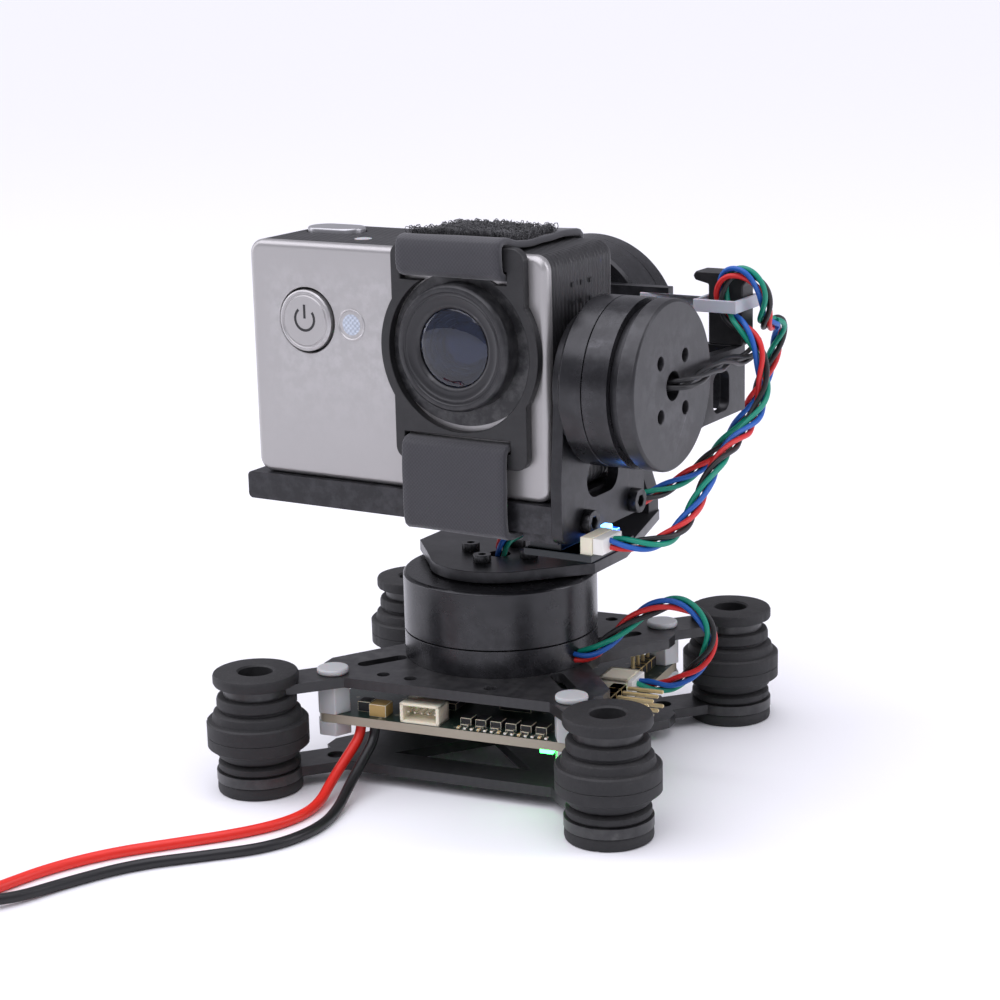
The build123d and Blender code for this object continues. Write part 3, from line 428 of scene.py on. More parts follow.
def circuit_board():
    """Solder mask with traces and pads on the faces, bare glass-fibre on the sawn edges."""
    if "circuit_board" in MATERIALS:
        return MATERIALS["circuit_board"]
    material = finish("circuit_board", (0.008, 0.014, 0.011), 0.3, 0.0, 0.2, 0.05, (2000.0, 0.05), dust=0.03)
    tree = material.node_tree
    shader = tree.nodes["Principled BSDF"]
    coordinates = tree.nodes.new("ShaderNodeTexCoord")
    shown = shader.inputs["Base Color"].links[0].from_socket
    cells = tree.nodes.new("ShaderNodeTexVoronoi")
    cells.distance = "MANHATTAN"
    cells.inputs["Scale"].default_value = 420.0
    tree.links.new(coordinates.outputs["Object"], cells.inputs["Vector"])
    pads = math_node(tree, "LESS_THAN", cells.outputs["Distance"], 0.30)
    traces = tree.nodes.new("ShaderNodeTexBrick")
    traces.inputs["Scale"].default_value = 330.0
    traces.inputs["Mortar Size"].default_value = 0.05
    tree.links.new(coordinates.outputs["Object"], traces.inputs["Vector"])
    shown = mix_colour(tree, math_node(tree, "MULTIPLY", traces.outputs["Fac"], 0.45), shown,
                       (0.02, 0.07, 0.05, 1))
    shown = mix_colour(tree, math_node(tree, "MULTIPLY", pads, 0.30), shown, (0.55, 0.50, 0.36, 1))
    parts = tree.nodes.new("ShaderNodeSeparateXYZ")
    tree.links.new(coordinates.outputs["Normal"], parts.inputs[0])
    edge = math_node(tree, "LESS_THAN", math_node(tree, "ABSOLUTE", parts.outputs["Z"]), 0.5)
    shown = mix_colour(tree, edge, shown, (0.34, 0.30, 0.23, 1))
    tree.links.new(shown, shader.inputs["Base Color"])
    return material


def brushed_silver():
    """The camera's front: satin silver with faint long brush marks."""
    if "brushed_silver" in MATERIALS:
        return MATERIALS["brushed_silver"]
    material = finish("brushed_silver", colours().silver, 0.38, 0.72, 0.05, 0.05, (4200.0, 0.10), 0.3,
                      (0.85, 0.85, 0.86), 0.01)
    tree = material.node_tree
    shader = tree.nodes["Principled BSDF"]
    stretch = tree.nodes.new("ShaderNodeMapping")
    stretch.inputs["Rotation"].default_value = (0, 0, -HEAD_TURN)
    stretch.inputs["Scale"].default_value = (60.0, 60.0, 5200.0)
    tree.links.new(tree.nodes["Texture Coordinate"].outputs["Object"], stretch.inputs["Vector"])
    marks = noise(tree, stretch.outputs[0], 1.0, 2.0, 0.5)
    under = shader.inputs["Normal"].links[0].from_socket
    tree.links.new(bump(tree, marks, 0.05, 0.00004, under), shader.inputs["Normal"])
    return material


def clear_glass(name, tint, rough=0.02):
    if name in MATERIALS:
        return MATERIALS[name]
    material = finish(name, tint, rough, 0.0, 0.03, 0.0, (300.0, 0.0))
    shader = material.node_tree.nodes["Principled BSDF"]
    shader.inputs["Transmission Weight"].default_value = 1.0
    shader.inputs["IOR"].default_value = 1.52
    shader.inputs["Coat Weight"].default_value = 0.1
    shader.inputs["Coat Roughness"].default_value = 0.02
    return material


def coated_lens(name, deep, rim_sheen):
    """A multi-coated element: near black face on, with a painted coloured reflection towards its edge."""
    if name in MATERIALS:
        return MATERIALS[name]
    material = finish(name, deep, 0.05, 0.0, 0.05, 0.0, (300.0, 0.0),
                      fixed={"Coat Weight": 1.0, "Coat Roughness": 0.02, "Specular IOR Level": 0.9})
    tree = material.node_tree
    shader = tree.nodes["Principled BSDF"]
    # Painted reflection: the base colour turns to the sheen colour at grazing view, standing for the
    # coating's coloured reflection.
    facing = tree.nodes.new("ShaderNodeLayerWeight")
    facing.inputs["Blend"].default_value = 0.35
    shown = shader.inputs["Base Color"].links[0].from_socket
    shown = mix_colour(tree, facing.outputs["Facing"], shown, opaque(rim_sheen))
    tree.links.new(shown, shader.inputs["Base Color"])
    return material


# --- Making pieces -----------------------------------------------------------------------
def mesh_from(shape, name):
    """The finished mesh of a working shape, which is freed."""
    mesh = bpy.data.meshes.new(name)
    shape.to_mesh(mesh)
    shape.free()
    return mesh


def place_piece(name, mesh, body, materials, nodes=(), crease=35):
    """Puts a finished mesh in the scene, on its body, with its finish and the CAD nodes it stands for."""
    piece = bpy.data.objects.new(name, mesh)
    bpy.context.scene.collection.objects.link(piece)
    if len(mesh.materials):
        mesh.materials.clear()
    for material in materials:
        mesh.materials.append(material)
    if crease:
        mesh.shade_smooth()
        mesh.set_sharp_from_angle(angle=radians(crease))
    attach(piece, body)
    if nodes:
        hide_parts(*nodes)
    return piece


def baked_mesh(piece, name):
    """The evaluated object as a plain mesh; the working object is removed."""
    graph = bpy.context.evaluated_depsgraph_get()
    mesh = bpy.data.meshes.new_from_object(piece.evaluated_get(graph), depsgraph=graph)
    mesh.name = name
    old = piece.data
    bpy.data.objects.remove(piece)
    if old.users == 0:
        (bpy.data.meshes if isinstance(old, bpy.types.Mesh) else bpy.data.curves).remove(old)
    return mesh


def working_object(name, data):
    piece = bpy.data.objects.new(name, data)
    bpy.context.scene.collection.objects.link(piece)
    return piece


def body_of(node):
    return next(body for body, nodes in frame["record"]["behaviour"]["bodies"].items() if node in nodes)


def eased(node, material, width, segments=2, name=None, angle=33):
    """A CAD part with its sharp edges broken, standing for the plain one."""
    mesh = frame["nodes"][node].data.copy()
    shape = bmesh.new()
    shape.from_mesh(mesh)
    bmesh.ops.remove_doubles(shape, verts=shape.verts, dist=2e-6)
    bmesh.ops.dissolve_limit(shape, angle_limit=radians(1.2), verts=shape.verts, edges=shape.edges)
    for face in shape.faces:
        face.smooth = True
    shape.to_mesh(mesh)
    shape.free()
    work = working_object("easing", mesh)
    bevel = work.modifiers.new("edge", "BEVEL")
    bevel.width = width
    bevel.segments = segments
    bevel.limit_method = "ANGLE"
    bevel.angle_limit = radians(angle)
    bevel.use_clamp_overlap = True
    weighted = work.modifiers.new("weighted", "WEIGHTED_NORMAL")
    weighted.keep_sharp = True
    weighted.weight = 80
    name = name or node + "_finished"
    return place_piece(name, baked_mesh(work, name), body_of(node), [material], [node],
                       crease=0)


def dress(node, material):
    """A CAD part whose shape is right gets its material."""
    mesh = frame["nodes"][node].data
    mesh.materials.clear()
    mesh.materials.append(material)


def turned(profile, at=Matrix.Identity(4), segments=96):
    """A lathe shape from a closed list of (radius, height) in metres, about the local Z axis."""
    shape = bmesh.new()
    rings = []
    for step in range(segments):
        angle = 2 * pi * step / segments
        rings.append([shape.verts.new(at @ Vector((r * cos(angle), r * sin(angle), h))) for r, h in profile])
    count = len(profile)
    for step in range(segments):
        here, there = rings[step], rings[(step + 1) % segments]
        for index in range(count):
            after = (index + 1) % count
            shape.faces.new((here[index], there[index], there[after], here[after]))
    bmesh.ops.remove_doubles(shape, verts=shape.verts, dist=1e-7)
    shape.faces.ensure_lookup_table()
    bmesh.ops.recalc_face_normals(shape, faces=shape.faces)
    mesh = mesh_from(shape, "turned")
    return mesh


def rounded_blocks(blocks, edge, at=Matrix.Identity(4), name="blocks"):
    """Boxes given by middle and size in millimetres, with a material number each, their edges rounded."""
    shape = bmesh.new()
    for centre, extent, material in blocks:
        made = bmesh.ops.create_cube(shape, size=1.0)
        spot = Matrix.Translation(Vector(centre) * MM) @ Matrix.Diagonal((*[v * MM for v in extent], 1.0))
        bmesh.ops.transform(shape, matrix=at @ spot, verts=made["verts"])
        for face in {face for vert in made["verts"] for face in vert.link_faces}:
            face.material_index = material
    bmesh.ops.bevel(shape, geom=shape.edges[:], offset=edge, segments=2, affect="EDGES", clamp_overlap=True)
    bmesh.ops.recalc_face_normals(shape, faces=shape.faces)
    mesh = mesh_from(shape, name)
    return mesh


# --- Geometry Nodes ----------------------------------------------------------------------
def scatter_tree(name, build):
    """A node tree that ends in Realize Instances and Set Material, with one named material input."""
    tree = bpy.data.node_groups.new(name, "GeometryNodeTree")
    tree.interface.new_socket("Geometry", in_out="OUTPUT", socket_type="NodeSocketGeometry")
    tree.interface.new_socket("Geometry", in_out="INPUT", socket_type="NodeSocketGeometry")
    tree.interface.new_socket("Material", in_out="INPUT", socket_type="NodeSocketMaterial")
    given = tree.nodes.new("NodeGroupInput")
    instances = build(tree, given)
    realize = tree.nodes.new("GeometryNodeRealizeInstances")
    paint = tree.nodes.new("GeometryNodeSetMaterial")
    result = tree.nodes.new("NodeGroupOutput")
    tree.links.new(instances, realize.inputs[0])
    tree.links.new(realize.outputs[0], paint.inputs["Geometry"])
    tree.links.new(given.outputs["Material"], paint.inputs["Material"])
    tree.links.new(paint.outputs[0], result.inputs[0])
    return tree


def run_tree(tree, mesh, name, values):
    """Runs a node tree on a mesh, its inputs set by the sockets' identifiers, and returns a plain mesh."""
    work = working_object("scatter", mesh)
    modifier = work.modifiers.new("scatter", "NODES")
    modifier.node_group = tree
    for item in tree.interface.items_tree:
        if item.in_out == "INPUT" and item.name in values:
            modifier[item.identifier] = values[item.name]
    return baked_mesh(work, name)


def loop_pile_tree():
    """Small leaning loops scattered over a patch, as on the soft side of a hook-and-loop strap."""
    def build(tree, given):
        tree.interface.new_socket("Count", in_out="INPUT", socket_type="NodeSocketInt")
        tree.interface.new_socket("Height", in_out="INPUT", socket_type="NodeSocketFloat")
        tree.interface.new_socket("Seed", in_out="INPUT", socket_type="NodeSocketInt")
        spread = tree.nodes.new("GeometryNodeDistributePointsOnFaces")
        spread.inputs["Density"].default_value = 8.0e6
        tree.links.new(given.outputs["Geometry"], spread.inputs["Mesh"])
        tree.links.new(given.outputs["Seed"], spread.inputs["Seed"])
        index = tree.nodes.new("GeometryNodeInputIndex")
        keep = tree.nodes.new("FunctionNodeCompare")
        keep.data_type = "INT"
        keep.operation = "GREATER_EQUAL"
        tree.links.new(index.outputs[0], keep.inputs[2])
        tree.links.new(given.outputs["Count"], keep.inputs[3])
        trim = tree.nodes.new("GeometryNodeDeleteGeometry")
        tree.links.new(spread.outputs["Points"], trim.inputs["Geometry"])
        tree.links.new(keep.outputs[0], trim.inputs["Selection"])
        arc = tree.nodes.new("GeometryNodeCurvePrimitiveCircle")
        arc.inputs["Resolution"].default_value = 7
        arc.inputs["Radius"].default_value = 0.5
        stand = tree.nodes.new("GeometryNodeTransform")
        stand.inputs["Rotation"].default_value = (radians(90), 0, 0)
        stand.inputs["Translation"].default_value = (0, 0, 0.40)
        stand.inputs["Scale"].default_value = (0.62, 1, 1)
        tree.links.new(arc.outputs[0], stand.inputs["Geometry"])
        section = tree.nodes.new("GeometryNodeCurvePrimitiveCircle")
        section.inputs["Resolution"].default_value = 3
        section.inputs["Radius"].default_value = 0.045
        sweep = tree.nodes.new("GeometryNodeCurveToMesh")
        tree.links.new(stand.outputs[0], sweep.inputs["Curve"])
        tree.links.new(section.outputs[0], sweep.inputs["Profile Curve"])
        lean = tree.nodes.new("FunctionNodeRandomValue")
        lean.data_type = "FLOAT_VECTOR"
        lean.inputs[0].default_value = (-0.75, -0.75, 0.0)
        lean.inputs[1].default_value = (0.75, 0.75, 6.28)
        tall = tree.nodes.new("FunctionNodeRandomValue")
        tall.data_type = "FLOAT"
        tall.inputs[2].default_value = 0.55
        tall.inputs[3].default_value = 1.15
        for node in (lean, tall):
            tree.links.new(given.outputs["Seed"], node.inputs["Seed"])
        height = tree.nodes.new("ShaderNodeMath")
        height.operation = "MULTIPLY"
        tree.links.new(tall.outputs[1], height.inputs[0])
        tree.links.new(given.outputs["Height"], height.inputs[1])
        place = tree.nodes.new("GeometryNodeInstanceOnPoints")
        tree.links.new(trim.outputs[0], place.inputs["Points"])
        tree.links.new(sweep.outputs[0], place.inputs["Instance"])
        tree.links.new(lean.outputs[0], place.inputs["Rotation"])
        tree.links.new(height.outputs[0], place.inputs["Scale"])
        return place.outputs[0]
    return scatter_tree("loop_pile", build)


# --- Cords -------------------------------------------------------------------------------
def cord_curve(name, points):
    """A smooth line guided by these points, in metres."""
    curve = bpy.data.curves.new(name, "CURVE")
    curve.dimensions = "3D"
    spline = curve.splines.new("NURBS")
    spline.points.add(len(points) - 1)
    for point, spot in zip(spline.points, points):
        point.co = (*spot, 1.0)
    spline.order_u = 3
    spline.use_endpoint_u = True
    spline.resolution_u = 10
    return curve


def centreline(points):
    """The smooth line itself, as closely spaced points."""
    work = working_object("line", cord_curve("line", points))
    mesh = baked_mesh(work, "line")
    line = [vert.co.copy() for vert in mesh.vertices]
    bpy.data.meshes.remove(mesh)
    return line


def line_length(line):
    return sum((b - a).length for a, b in zip(line, line[1:]))


def evenly_spaced(line, step):
    """The same line with points a fixed distance apart."""
    count = max(2, int(line_length(line) / step))
    spacing = line_length(line) / count
    spots, travelled, target = [line[0]], 0.0, spacing
    for a, b in zip(line, line[1:]):
        run = (b - a).length
        while run > 0 and travelled + run >= target - 1e-9 and len(spots) < count:
            spots.append(a.lerp(b, (target - travelled) / run))
            target += spacing
        travelled += run
    spots.append(line[-1])
    return spots


def twisted_strands(line, colours_used, strand_d, ring_r, twist, sides=8, wander=0.0):
    """Wires wound round one line. Each wire has its own material number."""
    spots = evenly_spaced(line, 0.0005)
    tangents = [(b - a).normalized() for a, b in zip(spots, spots[1:])]
    tangents.append(tangents[-1])
    across = tangents[0].orthogonal().normalized()
    frames = []
    for tangent in tangents:
        across = (across - tangent * across.dot(tangent)).normalized()
        frames.append((across.copy(), tangent.cross(across)))
    shape = bmesh.new()
    travelled = 0.0
    rings = [[] for _ in range(colours_used)]
    for index, (spot, (u, v)) in enumerate(zip(spots, frames)):
        if index:
            travelled += (spot - spots[index - 1]).length
        for wire_index in range(colours_used):
            turns = travelled / twist if twist else 0.0
            angle = 2 * pi * (turns + wire_index / colours_used)
            sway = 1.0 + wander * sin(travelled * 420.0 + wire_index * 2.1)
            middle = spot + (u * cos(angle) + v * sin(angle)) * ring_r * sway
            rings[wire_index].append([
                shape.verts.new(
                    middle + (u * cos(2 * pi * s / sides) + v * sin(2 * pi * s / sides)) * strand_d / 2)
                for s in range(sides)
            ])
    for wire_index, wire_rings in enumerate(rings):
        for before, after in zip(wire_rings, wire_rings[1:]):
            for s in range(sides):
                other = (s + 1) % sides
                face = shape.faces.new((before[s], before[other], after[other], after[s]))
                face.material_index = wire_index
        for ring, flip in ((wire_rings[0], True), (wire_rings[-1], False)):
            face = shape.faces.new(ring[::-1] if flip else ring)
            face.material_index = wire_index
    mesh = mesh_from(shape, "strands")
    return mesh, spots


def signal_materials():
    c = colours()
    return [wire("wire_green", c.wire_green), wire("wire_blue", c.wire_blue),
            wire("wire_red", c.wire_red), wire("wire_black", c.wire_black)]


def signal_lead(name, points, body, nodes):
    """A twisted four-wire lead along a route."""
    s = sizes()
    line = centreline(points)
    ring = (s.signal_bundle - s.signal_wire) / 2
    mesh, spots = twisted_strands(line, 4, s.signal_wire, ring * 0.92, s.signal_twist, 8, 0.10)
    piece = place_piece(name, mesh, body, signal_materials(), nodes, crease=60)
    return piece


def coil_turns(centre, first_angle, z, radii, turns, steps):
    """Points for flat turns of a coil that step inwards from the first radius to the last."""
    points = []
    total = int(turns * steps)
    for step in range(total + 1):
        share = step / total
        angle = first_angle - 2 * pi * turns * share
        radius = radii[0] + (radii[1] - radii[0]) * share + 0.00012 * sin(5 * angle)
        points.append(Vector((centre[0] + radius * cos(angle), centre[1] + radius * sin(angle), z)))
    return points


class GIMBAL_OT_power_leads(bpy.types.Operator):
    """Lays the red and black power leads from the board across the floor into a small coil and a plug"""
    bl_idname = "gimbal.power_leads"
    bl_label = "Power leads"

    def execute(self, context):
        s, c = sizes(), colours()
        low = -1.3
        routes = {
            "power_lead_red": [
                (-17.2, -22.8, 8.6), (-17.2, -22.8, 6.4), (-17.9, -26.4, 3.9), (-18.6, -31.8, 0.8),
                (-17.8, -38.6, low), (-18.8, -46.4, low), (-23.6, -53.6, low), (-31.6, -61.2, low),
                (-39.8, -68.8, low), (-45.6, -77.6, low), (-48.9, -86.6, low)],
            "power_lead_black": [
                (-14.5, -22.8, 8.6), (-14.5, -22.8, 6.2), (-14.9, -26.6, 3.5), (-15.0, -32.4, 0.5),
                (-13.6, -39.8, low), (-13.0, -48.6, low), (-16.6, -57.6, low), (-24.6, -64.4, low),
                (-33.6, -71.6, low), (-39.8, -81.4, low), (-44.4, -91.6, low + 0.3)],
        }
        coil_low, coil_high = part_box("power_lead_coil")
        centre = (Vector(coil_low) + Vector(coil_high)) / 2
        plug_low, plug_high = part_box("power_plug")
        plug = rounded_blocks([
            ((0, 0, 0), (12.6, 8.0, 5.0), 0), ((-0.8, 0, 2.5), (7.0, 4.4, 0.5), 0),
            ((6.1, 0, 0), (0.6, 6.4, 3.6), 0),
        ], 0.0005, Matrix.Translation((Vector(plug_low) + Vector(plug_high)) / 2))
        plug_piece = place_piece("power_plug_shell", plug, "root", [
            finish("plug_red", (0.42, 0.02, 0.015), 0.34, 0.0, 0.1, 0.05, (1600.0, 0.15))], ["power_plug"])
        plans = (
            ("power_lead_red", c.power_red, "wire_red", -0.0013, 0.0, -0.0016,
             ["power_lead_red", "power_lead_coil"]),
            ("power_lead_black", c.power_black, "wire_black", 0.0006, 0.35, 0.0016,
             ["power_lead_black", "power_lead_tails"]),
        )
        for name, rgb, slot, z, lag, side, nodes in plans:
            points = [base_point(*p) for p in routes[name]]
            start = radians(2) - lag
            points += coil_turns(centre, start, z, (0.0117, 0.0080), 2.5, 14)
            exit_z = 0.0026 if side < 0 else 0.0029
            hub = centre.x - 0.0052
            points += [
                Vector((hub + 0.0004, centre.y + side * 0.9, exit_z - 0.0011)),
                Vector((hub - 0.0022, centre.y + side, exit_z)),
                Vector((coil_low[0] + 0.0012, centre.y + side, exit_z)),
                Vector((coil_low[0] - 0.0030, centre.y + side, low * MM + 0.0014)),
                Vector((plug_high[0] - 0.0002, centre.y + side, low * MM + 0.0014)),
            ]
            curve = cord_curve(name + "_wire", points)
            curve.bevel_depth = s.power_wire / 2
            curve.bevel_resolution = 4
            curve.use_fill_caps = True
            piece = bpy.data.objects.new(name + "_wire", curve)
            context.scene.collection.objects.link(piece)
            shade = "insulation_red" if slot == "wire_red" else "insulation_black"
            curve.materials.append(wire(shade, rgb, 0.38))
            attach(piece, "root")
            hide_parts(*nodes)
            line_length(centreline(points))
        return {"FINISHED"}


class GIMBAL_OT_signal_leads(bpy.types.Operator):
    """Twists the four-wire leads of the motion sensor, the head and the yaw motor"""
    bl_idname = "gimbal.signal_leads"
    bl_label = "Signal leads"

    def execute(self, context):
        sensor = [
            (31.2, -15.5, 44.05), (33.8, -15.5, 44.05), (37.2, -13.4, 43.9), (39.2, -8.6, 44.6),
            (40.0, -2.8, 47.8), (40.6, 1.8, 53.0), (41.0, 9.0, 56.6), (41.4, 16.2, 58.8), (41.8, 20.4, 62.6),
            (41.7, 20.4, 67.4), (41.3, 19.6, 71.6), (38.8, 19.4, 74.8), (34.8, 20.6, 76.6),
            (33.4, 20.7, 80.4),
            (34.6, 20.7, 84.0), (38.0, 21.0, 84.6), (40.6, 22.6, 81.6), (40.3, 25.0, 77.6),
            (38.7, 26.8, 73.9),
            (38.7, 31.4, 73.9)]
        head = [
            (38.7, 31.4, 73.9), (38.7, 35.2, 73.9), (37.1, 36.9, 69.8), (34.2, 38.6, 63.2),
            (28.8, 38.8, 52.6),
            (20.4, 35.6, 43.0), (12.4, 25.6, 39.2), (6.0, 13.6, 38.1), (2.8, 6.6, 38.0), (0.2, 0.9, 37.8),
            (0.1, 0.1, 32.4), (0.0, 0.0, 21.3), (0.0, 0.0, 10.2)]
        yaw = [
            (16.4, -4.9, 18.8), (19.2, -5.6, 19.3), (22.8, -4.4, 22.4), (27.0, -1.4, 26.6), (32.2, 1.2, 28.9),
            (37.0, 2.2, 26.8), (39.2, 2.6, 22.4), (37.2, 2.8, 17.4), (33.2, 2.8, 13.8), (30.0, 2.8, 12.0),
            (25.1, 2.8, 12.0)]
        white = finish("plug_white", (0.80, 0.79, 0.74), 0.4, 0.0, 0.05, 0.05, (2000.0, 0.08))
        plugs = [
            eased("imu_plug", white, 0.00018),
            eased("yaw_cable_plug", white, 0.00018),
        ]
        signal_lead("sensor_lead", [head_point(*p) for p in sensor], "roll_frame", ["imu_cable"])
        signal_lead("head_lead", [head_point(*p) for p in head], "yaw_head", ["head_cable"])
        signal_lead("yaw_lead", [base_point(*p) for p in yaw], "root", ["yaw_motor_cable"])
        return {"FINISHED"}


class GIMBAL_OT_motor_leads(bpy.types.Operator):
    """Draws the thin black wires from the pitch motor to the cable block"""
    bl_idname = "gimbal.motor_leads"
    bl_label = "Motor leads"

    def execute(self, context):
        s = sizes()
        points = [head_point(*p) for p in [
            (36.6, -9.2, 69.8), (39.6, -9.2, 69.8), (41.6, -5.8, 70.2), (41.2, 1.4, 70.9), (39.8, 9.0, 70.6),
            (38.4, 15.4, 69.8), (38.2, 19.8, 69.2), (39.2, 22.8, 70.2), (39.2, 23.8, 72.6),
            (36.8, 23.8, 72.6)]]
        line = centreline(points)
        mesh, spots = twisted_strands(line, 3, s.motor_wire, 0.00072, 0.034, 8, 0.12)
        black = wire("wire_black", colours().wire_black)
        piece = place_piece("pitch_motor_wires", mesh, "roll_frame", [black] * 3,
                            ["pitch_motor_leads"], 60)
        return {"FINISHED"}


# --- Base --------------------------------------------------------------------------------
class GIMBAL_OT_plates(bpy.types.Operator):
    """Finishes the two waisted plates of the base"""
    bl_idname = "gimbal.plates"
    bl_label = "Plates"

    def execute(self, context):
        eased("lower_plate", laminate(), sizes().plate_edge)
        eased("upper_plate", laminate(), sizes().plate_edge)
        return {"FINISHED"}


# A damper's outline from its underside up to its top, as (radius, height) in millimetres.
DAMPER_OUTLINE = [
    (3.0, -2.2), (7.0, -2.2), (7.35, -2.0), (7.45, -1.5), (7.4, -0.5), (7.2, -0.12), (6.8, -0.02),
    (3.85, -0.02),
    (3.85, 1.82), (6.6, 1.82), (7.0, 1.95), (7.2, 2.3), (7.15, 3.2), (6.8, 3.5), (6.15, 3.7), (6.2, 3.95),
    (6.9, 4.15), (7.3, 4.6), (7.75, 5.5), (7.8, 5.75), (8.6, 5.85), (8.88, 6.1), (8.88, 7.95), (8.76, 8.05),
    (8.88, 8.15), (8.88, 10.5), (8.6, 10.8), (7.95, 10.9), (7.9, 11.1), (7.6, 12.2), (7.2, 12.5),
    (6.4, 12.65),
    (6.35, 12.9), (6.8, 13.1), (7.0, 13.4), (7.0, 14.5), (6.8, 15.0), (6.5, 15.18), (3.85, 15.18),
    (3.85, 17.02),
    (6.9, 17.02), (7.3, 17.15), (7.48, 17.5), (7.48, 18.7), (7.3, 19.05), (6.9, 19.2), (3.3, 19.2),
    (3.0, 18.9),
]
DAMPER_PLACES = ("front_left", "front_right", "back_right", "back_left")


class GIMBAL_OT_dampers(bpy.types.Operator):
    """Moulds the four rubber dampers, each with its belt, ridges and parting lines"""
    bl_idname = "gimbal.dampers"
    bl_label = "Dampers"

    def execute(self, context):
        outline = [(r * MM, h * MM) for r, h in DAMPER_OUTLINE]
        for turn, place in enumerate(DAMPER_PLACES):
            node = "damper_" + place
            low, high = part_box(node)
            middle = (Vector(low) + Vector(high)) / 2
            at = Matrix.Translation((middle.x, middle.y, 0)) @ Matrix.Rotation(radians(25 + 70 * turn), 4,
                                                            "Z")
            mesh = turned(outline, Matrix.Identity(4), 96)
            shape = bmesh.new()
            shape.from_mesh(mesh)
            bpy.data.meshes.remove(mesh)
            for vert in shape.verts:
                # The two halves of the mould meet in a thin line, and the rubber sags a little.
                angle = atan2(vert.co.y, vert.co.x)
                radius = sqrt(vert.co.x ** 2 + vert.co.y ** 2)
                if radius > 0.0058:
                    nip = 0.00012 * max(0.0, 1.0 - abs(sin(angle)) * 22)
                    sag = 0.00007 * sin(3 * angle + turn) * sin(vert.co.z * 260)
                    scale = (radius - nip - abs(sag)) / radius
                    vert.co.x *= scale
                    vert.co.y *= scale
            bmesh.ops.transform(shape, matrix=at, verts=shape.verts)
            mesh = mesh_from(shape, node)
            place_piece(node + "_rubber", mesh, "root", [rubber()], [node], 32)
        return {"FINISHED"}


class GIMBAL_OT_hardware(bpy.types.Operator):
    """Finishes the nylon spacers, nuts and screws, and the metal screws"""
    bl_idname = "gimbal.hardware"
    bl_label = "Hardware"

    def execute(self, context):
        eased("nylon_spacers", nylon(), 0.00025)
        eased("nylon_screws", nylon(), 0.00035)
        for node in ("yaw_motor_screws", "yaw_arm_screws", "roll_arm_screws", "bracket_screws"):
            eased(node, black_screw(), 0.00016)
        return {"FINISHED"}


